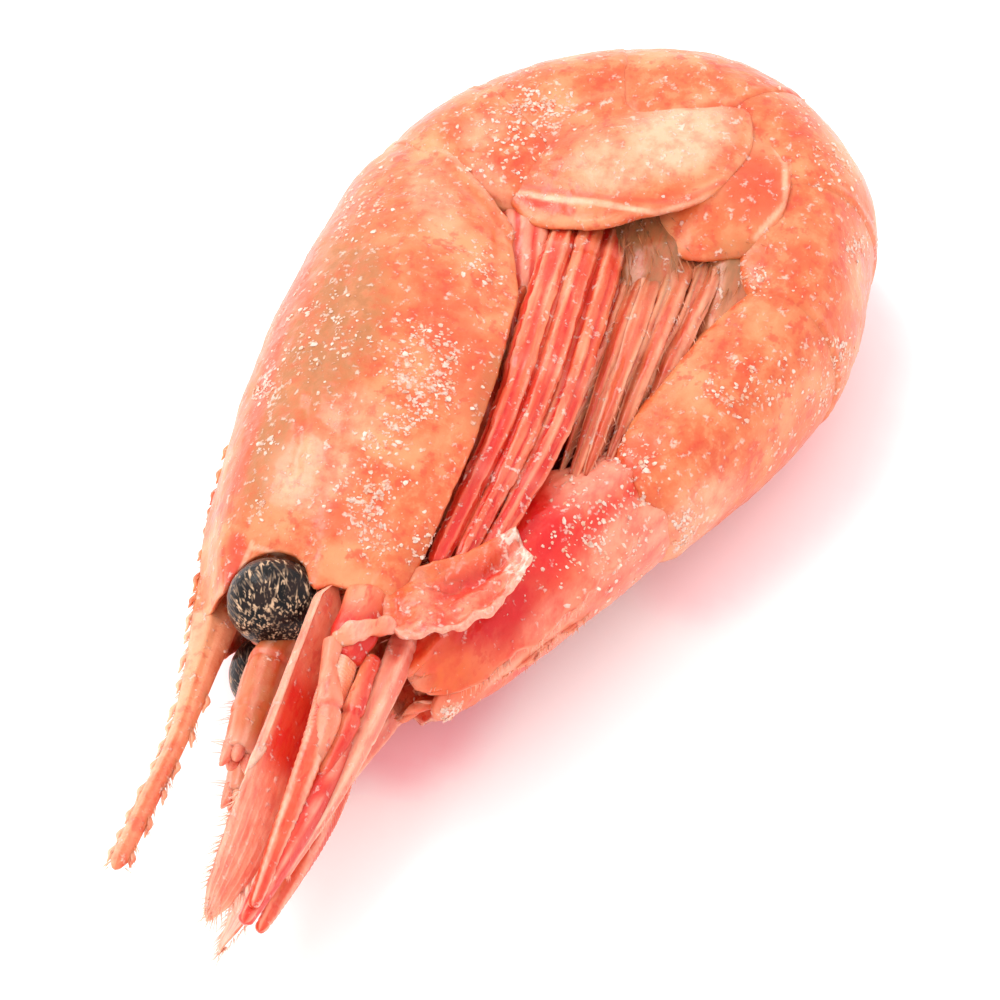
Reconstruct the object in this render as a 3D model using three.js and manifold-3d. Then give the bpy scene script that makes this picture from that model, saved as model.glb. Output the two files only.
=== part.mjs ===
// A cooked northern prawn in its shell, lying on its right side with the tail folded under the head.
// Millimetres. The head points to -X, the back to +Y and the left side up, to +Z. The part rests on z = 0.

import * as THREE from "three";
import { mergeVertices } from "three/addons/utils/BufferGeometryUtils.js";
import Module from "manifold-3d";

const wasm = await Module();
wasm.setup();

// Driving dimensions
const MID = 6.05; // height of the animal's own middle plane above the table
const GAP = 0.2; // clearance kept between two neighbouring pieces
// The two sides differ a little, because the animal lies on the right one: there the feelers bend up and end
// sooner, by rise and reach, and the mouth plate and the tail blades are pushed towards the middle.
const SIDES = [
  { name: "left", sign: 1, rise: 0, reach: 0, push: 1 },
  { name: "right", sign: -1, rise: 0.8, reach: 2.2, push: 0.62 },
];

const CARAPACE = {
  front: -13, // the face, under the eyes
  hindTop: [15.9, 6.8], // where the hind margin meets the back
  hindSlope: 0.9, // run of the hind margin along the body for each millimetre down the flank
  stations: 20,
  topLine: [[-13, 8.0], [-9, 9.0], [-4, 9.5], [0, 9.6], [5, 9.35], [10, 8.65], [13.5, 8.0], [15.9, 6.8]],
  lowLine: [[-13, -0.3], [-10, -1.1], [-5, -1.7], [2, -1.75], [8.3, -1.3]],
  halfWidth: [[-13, 3.9], [-9, 5.2], [-4, 6.0], [2, 6.25], [8, 6.2], [15.9, 5.5]],
  waistShare: 0.47, // height of the widest level, as a share of the flank's depth
  tuck: 122, // degrees round the flank, from the back to the lower margin
  flankSteps: 10,
  fullness: 0.9, // under 1 the flank is fuller than an ellipse
  rim: 0.9, // thickness of the lower margin
  rimLift: 0.15, // how much higher the margin's inner edge lies
  hollow: 1.2, // depth of the space between the two lower margins
};

// Spines of the face, under each eye: height, distance out and length
const FRONT_SPINES = [
  { y: 3.3, out: 3.3, length: 2.2 },
  { y: 0.6, out: 2.9, length: 1.9 },
];
const SPINE = { radius: 0.45, root: 0.8 };

const KEEL = { rise: 0.45, from: -13, to: 3 };

const ROSTRUM = {
  width: 0.9,
  root: 0, // where its upper edge joins the back
  chin: -12, // where its lower edge leaves the face
  tip: -28,
  top: [[-28, 8.85], [-24, 8.5], [-20, 8.15], [-16, 8.4], [-12, 8.95], [-8, 9.35], [-4, 9.7], [0, 9.75]],
  bottom: [[0, 8.6], [-8, 7.6], [-12, 6.75], [-16, 6.95], [-20, 7.2], [-24, 7.6], [-28, 8.0]],
  upperTeeth: { from: -2.5, to: -24, count: 13, height: 0.32, lean: 0.6 },
  lowerTeeth: { from: -14.5, to: -26, count: 7, height: 0.4, lean: 0.9 },
  heel: 0.62, // share of a tooth's pitch that its sloping side takes
};

const EYE = { x: -13.3, y: 5.1, out: 2.35, radius: 1.95 };

const STALKS = { x: -12.5, y: 5.2, radius: 1.15, length: 1.5 };

// Feelers and mouth limbs. Each line's points are the place along, the height and the distance out.
// On the side that the animal lies on, a point moves by its shares of that side's reach and rise.
const FEELERS = {
  antennule: {
    line: [[-13.3, 2.2, 1.1], [-16.6, 3.85, 1.15], [-21.6, 4.55, 1.35]],
    radii: [0.7, 0.9, 0.85, 0.7],
  },
  antenna_base: {
    line: [[-13.7, 0.95, 3.3], [-15.2, 0.95, 3.25], [-17.0, 1.1, 3.1]],
    radii: [1.0, 1.05, 0.85],
    shape: { steps: 6, sides: 10 },
  },
  antenna_flagellum: {
    line: [[-17.3, 1.1, 3.05], [-21, 1.15, 2.8], [-30.5, 1.7, 2.0]],
    radii: [0.8, 0.7, 0.55, 0.42, 0.32],
    reachShare: [0, 0, 1],
    riseShare: [0, 0, 0.4],
  },
  antennal_scale: {
    line: [[-13.25, 2.35, 3.5], [-17, 2.45, 3.15], [-22, 2.55, 2.55], [-27, 2.85, 2.3], [-31.8, 3.35, 2.3]],
    radii: [0.11, 0.17, 0.3, 0.3, 0.17],
    reachShare: [0, 0, 0, 0.5, 1],
    shape: { flat: 4.6, roll: 42 },
  },
  maxilliped: {
    line: [[-9.8, -1.0, 1.1], [-14, -1.05, 2.1], [-18, -0.75, 2.2], [-23, 0.0, 1.8], [-28, 1.0, 1.4]],
    radii: [0.55, 0.6, 0.55, 0.42, 0.28],
    reachShare: [0, 0, 0, 0.5, 1],
    riseShare: [0, 0, 0.3, 0.5, 0.7],
  },
};

const MOUTH_PLATE = {
  x: -12.2,
  y: -2.9,
  out: 3.85,
  size: [2.4, 2.1, 0.4],
  turn: 25,
  reachShare: 0.52,
};

// The back line of the tail: tangent arcs, each a length and a turn in degrees, starting at the carapace
const BACK = { start: [15.9, 6.8], heading: -28 };
const ARCS = [
  { length: 4.0, turn: -14 },
  { length: 8.3, turn: -33.5 },
  { length: 9.4, turn: -52.5 },
  { length: 7.6, turn: -37 },
  { length: 7.9, turn: -26 },
  { length: 12.0, turn: -17.5 },
  { length: 15.1, turn: -4 },
];
const FIRST_SLANT = -42; // the first segment's two faces follow the carapace's slanted margin

// Sizes of the tail's cross-section at each segment border, from the carapace to the fan
const TAIL = {
  halfWidth: [5.4, 5.6, 5.8, 5.65, 5.1, 4.3, 3.1], // of the widest level
  waist: [4.1, 4.3, 4.3, 3.9, 3.3, 2.8, 2.3], // depth of the widest level below the back
  flank: [9.2, 9.5, 9.2, 8.0, 6.3, 5.4, 4.6], // depth of the side plates' lower edge
  belly: [7.4, 7.6, 7.3, 6.4, 5.1, 4.4, 3.6], // depth of the belly between them
  plate: 1.0, // thickness of a side plate
  plateShape: [[0.55, 0.985], [0.88, 0.93], [1, 0.86]], // shares of its depth and of the half width
  plateInner: 0.78, // where its inner face meets the belly, as a share of the half width
  bellyHollow: 0.3, // how far the belly's middle lies in
  archSteps: 5,
  step: 0.22, // how far each segment's hind edge stands over the next segment
  scallop: 0.16, // share of the flank's depth taken off at a plate's two corners
  stations: 8,
};

// The large rounded side plates of the second and third segments, drawn from the side
const LOBES = {
  2: { x: 14.1, y: -4.55, long: 6.0, short: 4.1, turn: -56, out: 5.45, thick: 0.85 },
  3: { x: 14.1, y: -8.7, long: 4.7, short: 3.5, turn: 8, out: 4.85, thick: 0.8 },
};

const THORAX = {
  line: [[-9.5, -1.0, 0], [-5, -1.45, 0], [2, -1.6, 0], [7.2, -2.2, 0], [10.0, -3.4, 0]],
  radii: [0.55, 0.8, 0.85, 0.95, 0.95],
  shape: { flat: 3.4, sides: 12 },
};

// Walking legs, from hip to tip: the place along, the height and the distance out
const LEG_RADII = [0.52, 0.5, 0.44, 0.3];
const LEG_SHAPE = { sides: 7, steps: 11 };
const LEGS = {
  1: [[-3.6, -2.8, 1.3], [-6.6, -3.2, 1.6], [-9.4, -2.3, 1.2]],
  2: [[-1.2, -2.6, 2.3], [-5.0, -3.5, 2.9], [-9.4, -2.6, 2.6]],
  3: [[9.3, -2.75, 3.8], [5.0, -2.75, 4.75], [-2.0, -2.7, 4.4], [-9.0, -1.95, 4.0]],
  4: [[10.3, -3.9, 3.2], [5.0, -3.85, 4.4], [-2.0, -3.75, 4.2], [-8.5, -3.05, 3.8]],
  5: [[11.0, -4.9, 2.7], [5.0, -4.95, 3.9], [-2.0, -4.85, 3.8], [-7.8, -4.1, 3.6]],
};

// Swimming legs, from the belly of the first five segments, bent forward into the fold
const PLEOPOD_RADII = [0.6, 0.62, 0.56, 0.32];
const PLEOPOD_SHAPE = { sides: 7, steps: 10, flat: 1.3 };
const PLEOPODS = {
  1: [[13.5, -0.9, 2.3], [13.3, -4.0, 2.5], [12.4, -6.0, 2.95], [6.0, -6.5, 3.6], [-3.4, -6.2, 3.4]],
  2: [[15.4, -3.0, 2.4], [14.05, -6.95, 2.85], [8.0, -7.75, 3.6], [0.6, -7.75, 3.4]],
  3: [[16.5, -5.9, 2.4], [14.5, -8.2, 2.8], [8.4, -9.05, 3.5], [3.8, -9.1, 3.4]],
  4: [[15.7, -8.5, 1.0], [12.9, -6.9, 1.05], [8.0, -7.2, 1.1], [-3.6, -6.2, 1.1]],
  5: [[12.4, -10.7, 1.05], [11.6, -8.9, 1.05], [7.0, -8.7, 1.1], [1.2, -7.8, 1.1]],
};

// Tail fan. Each line's points are the place along in segments, the depth below the back and the way out.
const TELSON = {
  line: [[6.015, 0.75, 0], [6.35, 0.6, 0], [6.7, 0.45, 0], [6.97, 0.35, 0]],
  radii: [0.75, 0.5, 0.4, 0.28],
  shape: { flat: 2.4, sides: 10, steps: 8 },
};
const UROPODS = {
  uropod_outer: {
    line: [[6.02, 2.6, 2.6], [6.3, 2.7, 2.8], [6.65, 2.5, 2.45], [6.98, 1.7, 2.0]],
    radii: [1.3, 2.05, 2.2, 1.2],
    shape: { flat: 0.18, sides: 10, steps: 9 },
    sink: 1, // how much deeper the lower side's blade lies, as a share of its push
  },
  uropod_inner: {
    line: [[6.02, 3.1, 1.35], [6.3, 3.3, 1.35], [6.6, 3.1, 1.2], [6.9, 2.4, 0.9]],
    radii: [1.0, 1.6, 1.7, 1.0],
    shape: { flat: 0.2, sides: 10, steps: 9 },
    sink: 0,
  },
};

const COLOURS = {
  shell: { color: 0xf28a63, roughness: 0.35, metalness: 0 },
  plate: { color: 0xf3c9ac, roughness: 0.4, metalness: 0 },
  limb: { color: 0xf0764f, roughness: 0.4, metalness: 0 },
  tail: { color: 0xe9573a, roughness: 0.35, metalness: 0 },
  swimmeret: { color: 0xb88467, roughness: 0.5, metalness: 0 },
  eye: { color: 0x23211f, roughness: 0.25, metalness: 0 },
};

// Small helpers

/** The value at x of a smooth line through the points, which are in rising or falling order of x. */
function readLine(points, x) {
  const sorted = points[0][0] < points.at(-1)[0] ? points : [...points].reverse();
  const last = sorted.length - 1;
  if (x <= sorted[0][0]) return sorted[0][1];
  if (x >= sorted[last][0]) return sorted[last][1];
  const k = sorted.findIndex((p, i) => i < last && x < sorted[i + 1][0]);
  const before = sorted[Math.max(k - 1, 0)];
  const [a, b] = [sorted[k], sorted[k + 1]];
  const after = sorted[Math.min(k + 2, last)];
  const width = b[0] - a[0];
  const t = (x - a[0]) / width;
  const slopeA = ((b[1] - before[1]) / (b[0] - before[0])) * width;
  const slopeB = ((after[1] - a[1]) / (after[0] - a[0])) * width;
  const t2 = t * t;
  const t3 = t2 * t;
  return (2 * t3 - 3 * t2 + 1) * a[1] + (t3 - 2 * t2 + t) * slopeA
    + (3 * t2 - 2 * t3) * b[1] + (t3 - t2) * slopeB;
}

/** The value at the place s of a list of sizes, one for each whole number. */
function readSizes(sizes, s) {
  return readLine(sizes.map((size, i) => [i, size]), s);
}

/** A point of the animal: its place along, its height towards the back, and its distance out to the left. */
function at(x, y, out) {
  return new THREE.Vector3(x, y, MID + out);
}

/** The normal of a closed ring of points. */
function ringNormal(ring) {
  const normal = new THREE.Vector3();
  ring.forEach((p, i) => {
    const q = ring[(i + 1) % ring.length];
    normal.x += (p.y - q.y) * (p.z + q.z);
    normal.y += (p.z - q.z) * (p.x + q.x);
    normal.z += (p.x - q.x) * (p.y + q.y);
  });
  return normal.normalize();
}

/** The triangles that fill a flat ring, as places in the ring, seen from the side its normal points to. */
function fillRing(ring) {
  const normal = ringNormal(ring);
  const aside = Math.abs(normal.z) < 0.9 ? new THREE.Vector3(0, 0, 1) : new THREE.Vector3(1, 0, 0);
  const across = aside.clone().cross(normal).normalize();
  const up = normal.clone().cross(across);
  const flat = ring.map((p) => new THREE.Vector2(p.dot(across), p.dot(up)));
  return THREE.ShapeUtils.triangulateShape(flat, []);
}

/** One closed body through a row of closed rings that have the same number of points. */
function loft(rings) {
  const count = rings[0].length;
  const onward = rings[1][0].clone().sub(rings[0][0]);
  const ordered = ringNormal(rings[0]).dot(onward) > 0 ? rings : rings.map((ring) => [...ring].reverse());
  const index = [];
  for (let r = 0; r + 1 < ordered.length; r++) {
    for (let i = 0; i < count; i++) {
      const a = r * count + i;
      const b = r * count + ((i + 1) % count);
      index.push(a, b, b + count, a, b + count, a + count);
    }
  }
  const end = (ordered.length - 1) * count;
  fillRing(ordered[0]).forEach(([a, b, c]) => index.push(a, c, b));
  fillRing(ordered.at(-1)).forEach(([a, b, c]) => index.push(end + a, end + b, end + c));
  const geometry = new THREE.BufferGeometry().setFromPoints(ordered.flat());
  geometry.setIndex(index);
  return geometry;
}

/**
 * An oval limb along a smooth line, with radii from root to tip. Flat widens or narrows it sideways, and roll
 * turns its width, in degrees from upright towards the animal's back.
 */
function limb(points, radii, { sides = 8, steps = 10, flat = 1, roll = 0 } = {}) {
  const line = new THREE.CatmullRomCurve3(points, false, "centripetal");
  const rings = [];
  for (let i = 0; i <= steps; i++) {
    const share = i / steps;
    const centre = line.getPoint(share);
    const along = line.getTangent(share);
    const inPlane = new THREE.Vector3(0, 0, 1).cross(along).normalize();
    inPlane.applyAxisAngle(along, THREE.MathUtils.degToRad(roll));
    const sideways = along.clone().cross(inPlane);
    const round = i === 0 || i === steps ? 0.55 : 1; // both ends are rounded off
    const radius = readSizes(radii, share * (radii.length - 1)) * round;
    rings.push(
      Array.from({ length: sides }, (_, k) => {
        const angle = (2 * Math.PI * (k + 0.5)) / sides;
        return centre.clone()
          .addScaledVector(inPlane, radius * Math.cos(angle))
          .addScaledVector(sideways, radius * flat * Math.sin(angle));
      }),
    );
  }
  return loft(rings);
}

/** An ellipsoid at a point, turned in the side view. */
function ellipsoid(centre, size, turn = 0, across = 16, down = 10) {
  const geometry = new THREE.SphereGeometry(1, across, down);
  geometry.scale(...size);
  geometry.rotateZ(THREE.MathUtils.degToRad(turn));
  geometry.translate(centre.x, centre.y, centre.z);
  return geometry;
}

/** A closed geometry as a solid that can be joined and cut. */
function solid(geometry) {
  const bare = geometry.clone();
  bare.deleteAttribute("normal");
  bare.deleteAttribute("uv");
  const merged = mergeVertices(bare, 1e-4);
  return new wasm.Manifold(
    new wasm.Mesh({
      numProp: 3,
      vertProperties: new Float32Array(merged.attributes.position.array),
      triVerts: new Uint32Array(merged.index.array),
    }),
  );
}

/** A solid as a geometry. */
function geometryOf(made) {
  const mesh = made.getMesh();
  const geometry = new THREE.BufferGeometry();
  geometry.setAttribute("position", new THREE.BufferAttribute(new Float32Array(mesh.vertProperties), 3));
  geometry.setIndex(new THREE.BufferAttribute(new Uint32Array(mesh.triVerts), 1));
  return geometry;
}

/** The largest body of a solid, without the scraps that a cut leaves. */
function largest(made) {
  return made.decompose().reduce((best, body) => (body.volume() > best.volume() ? body : best));
}

// The floor presses the lowest shell flat: everything below z = 0 is taken off
const ABOVE_FLOOR = (() => {
  const block = new THREE.BoxGeometry(120, 80, 40);
  block.translate(0, 0, 20);
  return solid(block);
})();

const part = new THREE.Group();
const prawn = new THREE.Group();
part.add(prawn);

/** Adds a geometry or a solid to the prawn as a named mesh. */
function add(name, shape, finish) {
  const made = shape.isBufferGeometry ? solid(shape) : shape;
  const mesh = new THREE.Mesh(geometryOf(made), new THREE.MeshStandardMaterial(finish));
  mesh.name = name;
  prawn.add(mesh);
}

// The back line of the tail

/** The point and heading of the back line at s segments from the carapace. */
function backAt(s) {
  let [x, y] = BACK.start;
  let heading = THREE.MathUtils.degToRad(BACK.heading);
  for (let k = 0; k < ARCS.length; k++) {
    const share = Math.min(Math.max(s - k, 0), 1);
    const turn = THREE.MathUtils.degToRad(ARCS[k].turn);
    const radius = ARCS[k].length / turn;
    const next = heading + turn * share;
    x += radius * (Math.sin(next) - Math.sin(heading));
    y -= radius * (Math.cos(next) - Math.cos(heading));
    heading = next;
    if (share < 1) break;
  }
  return { x, y, heading };
}

/** A point in the tail: s segments along, a depth below the back, and a distance out to the left. */
function inTail(s, depth, out) {
  const { x, y, heading } = backAt(s);
  const slant = Math.min(heading, THREE.MathUtils.degToRad(FIRST_SLANT));
  return at(x + depth * Math.sin(slant), y - depth * Math.cos(slant), out);
}

// Head and carapace

/** One ring of the carapace, at a share of the way from the face to the slanted hind margin. */
function carapaceRing(share) {
  const [hindX, hindY] = CARAPACE.hindTop;
  const topX = CARAPACE.front + share * (hindX - CARAPACE.front);
  const top = readLine(CARAPACE.topLine, topX);
  const lowEnd = CARAPACE.lowLine.at(-1);
  const lowHind = hindX - CARAPACE.hindSlope * (hindY - lowEnd[1]);
  const lowX = CARAPACE.front + share * (lowHind - CARAPACE.front);
  const low = readLine(CARAPACE.lowLine, lowX);
  const half = readLine(CARAPACE.halfWidth, topX);
  const waist = low + (top - low) * CARAPACE.waistShare;
  const tuck = THREE.MathUtils.degToRad(CARAPACE.tuck);
  const below = (waist - low) / -Math.cos(tuck);
  const keel = KEEL.rise * THREE.MathUtils.smoothstep(-topX, -KEEL.to, -KEEL.from);
  const place = (y, out) => at(topX + ((top - y) / (top - low)) * (lowX - topX), y, out);
  const flank = [];
  for (let i = 1; i <= CARAPACE.flankSteps; i++) {
    const angle = (tuck * i) / CARAPACE.flankSteps;
    const reach = Math.cos(angle) > 0 ? top - waist : below;
    flank.push([waist + reach * Math.cos(angle), half * Math.sin(angle) ** CARAPACE.fullness]);
  }
  const [rimY, rimOut] = flank.at(-1);
  const ceiling = rimY + CARAPACE.hollow;
  flank.push([rimY + CARAPACE.rimLift, rimOut - CARAPACE.rim]);
  flank.push([ceiling, rimOut - 1.6 * CARAPACE.rim]);
  const left = flank.map(([y, out]) => place(y, out));
  const right = flank.map(([y, out]) => place(y, -out)).reverse();
  return [place(top + keel, 0), ...left, place(ceiling + CARAPACE.rimLift, 0), ...right];
}

/** The saw-toothed blade on the front of the back, as an outline in the side view pushed out to its width. */
function rostrum() {
  const edge = (line, from, to, teeth, side) => {
    const points = [];
    const pitch = (teeth.to - teeth.from) / teeth.count;
    points.push([from, readLine(line, from)]);
    for (let i = 0; i < teeth.count; i++) {
      const x = teeth.from + pitch * i;
      const foot = readLine(line, x);
      const tooth = [x - teeth.lean, readLine(line, x - teeth.lean) + side * teeth.height];
      const heelX = x + ROSTRUM.heel * pitch;
      const heel = [heelX, readLine(line, heelX)];
      points.push([x, foot], tooth, heel);
    }
    points.push([to, readLine(line, to)]);
    return points;
  };
  const { root, chin, tip, top, bottom, upperTeeth, lowerTeeth } = ROSTRUM;
  const upper = edge(top, root, tip, upperTeeth, 1);
  const lower = edge(bottom, chin, tip, lowerTeeth, -1).reverse();
  const sunk = [0.66 * chin, root].map((x) => [x, readLine(bottom, x)]); // inside the head
  const outline = [...upper, ...lower, ...sunk].map(([x, y]) => new THREE.Vector2(x, y));
  const geometry = new THREE.ExtrudeGeometry(new THREE.Shape(outline), {
    depth: ROSTRUM.width,
    bevelEnabled: false,
  });
  geometry.translate(0, 0, MID - ROSTRUM.width / 2);
  return geometry;
}

/** A small spine of the carapace's front margin, on the side that sign gives. */
function frontSpine({ y, out, length }, sign) {
  const spine = new THREE.ConeGeometry(SPINE.radius, length, 7);
  spine.rotateZ(Math.PI / 2);
  const middle = at(CARAPACE.front - length / 2 + SPINE.root, y, sign * out);
  spine.translate(middle.x, middle.y, middle.z);
  return solid(spine);
}

/** The side plates of one segment, grown by a clearance. */
function lobes(segment, clearance) {
  const { x, y, long, short, turn, out, thick } = LOBES[segment];
  const size = [long + clearance, short + clearance, thick + clearance];
  return SIDES.map(({ sign }) => solid(ellipsoid(at(x, y, sign * out), size, turn, 14, 8)))
    .reduce((all, lobe) => all.add(lobe));
}

/** The short stalks that carry both eyes, joined across the middle of the head. */
function eyeBridge(clearance) {
  const { x, y, radius, length } = STALKS;
  const size = [radius + clearance, radius + clearance, length + clearance];
  return solid(ellipsoid(at(x, y, 0), size, 0, 12, 8));
}

function carapace() {
  const rings = Array.from({ length: CARAPACE.stations }, (_, i) => {
    const share = i / (CARAPACE.stations - 1);
    return carapaceRing(share);
  });
  let made = solid(loft(rings)).add(solid(rostrum()));
  for (const { sign } of SIDES) {
    for (const spine of FRONT_SPINES) made = made.add(frontSpine(spine, sign));
    const eye = at(EYE.x, EYE.y, sign * EYE.out);
    const orbit = EYE.radius + 1.5 * GAP;
    made = made.subtract(solid(ellipsoid(eye, [orbit, orbit, orbit], 0, 16, 10)));
  }
  made = made.subtract(eyeBridge(GAP));
  return largest(made.subtract(lobes(2, GAP)).intersect(ABOVE_FLOOR));
}

add("carapace", carapace(), COLOURS.shell);

// Eyes and feelers
const eyes = SIDES.map(({ sign }) => {
  const around = EYE.radius + 0.5 * GAP;
  return solid(ellipsoid(at(EYE.x, EYE.y, sign * EYE.out), [around, around, around], 0, 16, 10));
});
add("eyestalks", largest(eyes.reduce((bridge, eye) => bridge.subtract(eye), eyeBridge(0))), COLOURS.limb);

for (const { name, sign, rise, reach, push } of SIDES) {
  const eye = at(EYE.x, EYE.y, sign * EYE.out);
  add(`eye_${name}`, ellipsoid(eye, [EYE.radius, EYE.radius, EYE.radius * 0.97], 0, 16, 10), COLOURS.eye);

  for (const [feeler, { line, radii, reachShare, riseShare, shape }] of Object.entries(FEELERS)) {
    const points = line.map(([x, y, out], i) => {
      const along = x + reach * (reachShare?.[i] ?? 0);
      const height = y + rise * (riseShare?.[i] ?? 0);
      return at(along, height, sign * out);
    });
    const turned = { ...shape, roll: sign * (shape?.roll ?? 0) };
    add(`${feeler}_${name}`, limb(points, radii, turned), COLOURS.limb);
  }

  const { x, y, out, size, turn, reachShare } = MOUTH_PLATE;
  const centre = at(x + reach * reachShare, y, sign * out);
  const plateSize = [size[0], size[1] * push, size[2]];
  add(`mouth_plate_${name}`, ellipsoid(centre, plateSize, turn, 14, 8), COLOURS.limb);
}

// Belly of the head part, and the walking legs under it
const thoraxLine = THORAX.line.map(([x, y, out]) => at(x, y, out));
add("thorax", limb(thoraxLine, THORAX.radii, THORAX.shape), COLOURS.limb);

for (const { name, sign } of SIDES) {
  for (const [leg, line] of Object.entries(LEGS)) {
    const points = line.map(([x, y, out]) => at(x, y, sign * out));
    add(`leg_${leg}_${name}`, limb(points, LEG_RADII, LEG_SHAPE), COLOURS.limb);
  }
}

// Tail: six segments, each a slice of the curled body with its side plates

/** One ring of a tail segment, at a place along the tail and a share of the way through its own segment. */
function tailRing(s, share) {
  const edge = Math.abs(2 * share - 1) ** 3;
  const lift = TAIL.step * (1 - share) ** 2; // the front edge lies lower than the hind edge
  const half = readSizes(TAIL.halfWidth, s) - 0.8 * lift;
  const waist = readSizes(TAIL.waist, s);
  const flank = readSizes(TAIL.flank, s) * (1 - TAIL.scallop * edge);
  const belly = readSizes(TAIL.belly, s) * (1 - 0.5 * TAIL.scallop * edge);
  const side = [];
  for (let i = 1; i <= TAIL.archSteps; i++) {
    const angle = (Math.PI / 2) * (i / TAIL.archSteps);
    side.push([lift + (waist - lift) * (1 - Math.cos(angle)), half * Math.sin(angle)]);
  }
  for (const [down, across] of TAIL.plateShape) {
    side.push([waist + down * (flank - waist), half * across]);
  }
  const edgeOut = half * TAIL.plateShape.at(-1)[1];
  side.push([flank - 0.25 * TAIL.plate, edgeOut - TAIL.plate]);
  side.push([belly, half * TAIL.plateInner - TAIL.plate]);
  side.push([belly - 0.5 * TAIL.bellyHollow, 0.35 * half]);
  const left = side.map(([depth, out]) => inTail(s, depth, out));
  const right = side.map(([depth, out]) => inTail(s, depth, -out)).reverse();
  return [inTail(s, lift, 0), ...left, inTail(s, belly - TAIL.bellyHollow, 0), ...right];
}

function tailSegment(k) {
  const margin = (0.5 * GAP) / ARCS[k - 1].length;
  const rings = Array.from({ length: TAIL.stations }, (_, i) => {
    const share = i / (TAIL.stations - 1);
    return tailRing(k - 1 + margin + share * (1 - 2 * margin), share);
  });
  let made = solid(loft(rings));
  for (const other of Object.keys(LOBES).map(Number)) {
    if (other === k) made = made.add(lobes(k, 0));
    else made = made.subtract(lobes(other, GAP));
  }
  if (k === 3) made = made.subtract(lobes(2, GAP));
  return largest(made.intersect(ABOVE_FLOOR));
}

for (let k = 1; k <= 6; k++) {
  add(`abdomen_segment_${k}`, tailSegment(k), k === 2 ? COLOURS.plate : COLOURS.shell);
}

// Swimming legs
for (const { name, sign } of SIDES) {
  for (const [pleopod, line] of Object.entries(PLEOPODS)) {
    const points = line.map(([x, y, out]) => at(x, y, sign * out));
    add(`pleopod_${pleopod}_${name}`, limb(points, PLEOPOD_RADII, PLEOPOD_SHAPE), COLOURS.swimmeret);
  }
}

// Tail fan: the middle blade along the back line, and two folded blades on each side of it
const telsonLine = TELSON.line.map(([s, depth, out]) => inTail(s, depth, out));
add("telson", limb(telsonLine, TELSON.radii, TELSON.shape), COLOURS.tail);

for (const { name, sign, push } of SIDES) {
  for (const [blade, { line, radii, shape, sink }] of Object.entries(UROPODS)) {
    const points = line.map(([s, depth, out]) => inTail(s, depth + sink * (1 - push), sign * push * out));
    add(`${blade}_${name}`, limb(points, radii, shape), COLOURS.tail);
  }
}

// The part's origin is the middle of its box, on the table
prawn.updateMatrixWorld(true);
const box = new THREE.Box3().setFromObject(prawn);
const middle = box.getCenter(new THREE.Vector3());
prawn.position.set(-middle.x, -middle.y, -box.min.z);

export default part;
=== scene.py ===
"""A cooked northern prawn in its shell, lying on its right side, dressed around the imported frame."""

import logging
import math
from dataclasses import dataclass, field
from enum import Enum
from typing import Callable, Iterable, Sequence

import bpy
import numpy as np
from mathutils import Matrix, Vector
from mathutils.kdtree import KDTree

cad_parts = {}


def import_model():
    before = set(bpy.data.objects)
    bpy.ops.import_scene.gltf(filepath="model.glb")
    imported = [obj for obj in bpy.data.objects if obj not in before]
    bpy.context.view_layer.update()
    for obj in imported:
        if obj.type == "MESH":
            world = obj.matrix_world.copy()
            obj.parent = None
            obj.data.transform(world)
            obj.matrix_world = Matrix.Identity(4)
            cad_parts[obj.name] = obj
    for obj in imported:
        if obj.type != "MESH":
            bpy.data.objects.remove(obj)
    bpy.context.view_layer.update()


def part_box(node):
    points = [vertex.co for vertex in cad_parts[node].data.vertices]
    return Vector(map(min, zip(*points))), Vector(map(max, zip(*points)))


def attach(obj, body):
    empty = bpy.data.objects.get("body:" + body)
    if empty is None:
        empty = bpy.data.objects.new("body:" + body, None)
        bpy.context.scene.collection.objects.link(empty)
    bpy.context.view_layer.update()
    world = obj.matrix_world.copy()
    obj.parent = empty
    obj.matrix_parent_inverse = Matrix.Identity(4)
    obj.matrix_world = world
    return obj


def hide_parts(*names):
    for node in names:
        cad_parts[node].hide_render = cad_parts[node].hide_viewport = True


log = logging.getLogger("prawn")

Array = np.ndarray
Line = Sequence[Sequence[float]]
Colour = tuple[float, float, float]

MM = 0.001  # one millimetre in metres
MID = 6.05  # height of the animal's own middle plane above the table
EYE_PLACE = (-13.3, 5.1, 2.35)  # along, towards the back and out, in the animal's millimetres
EYE_RADIUS = 1.95
LEFT_AND_RIGHT = (("left", 1.0), ("right", -1.0))
TOWARDS_CAMERA = (-0.677, -0.156, 0.719)
VIEW_TURN, VIEW_TILT, VIEW_SCALE = math.radians(77), math.radians(46), 5.1  # how the camera's picture lies on the animal
VIEW_MIDDLE = (140.0, 600.0)


class Paint(Enum):
    """What a mark adds to the colour of a shell: the shell's own colour, and in some places painted highlight (pale)
    and painted shade (deep red and brown).
    """

    PALE = "pale"
    DEEP = "deep"
    BROWN = "brown"
    FROST = "frost"


# Small mathematics


def smooth(low: float, high: float, value: Array) -> Array:
    """A soft step from 0 at low to 1 at high.

    Args:
        low: Where the step starts.
        high: Where the step ends.
        value: The values to read it at.

    Returns:
        The step at each value.
    """
    share = np.clip((np.asarray(value, float) - low) / (high - low), 0.0, 1.0)
    return share * share * (3.0 - 2.0 * share)


def bump(middle: float, width: float, value: Array) -> Array:
    """A bell of height 1 at middle, width wide, read at each value."""
    return np.exp(-(((np.asarray(value, float) - middle) / width) ** 2))


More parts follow.
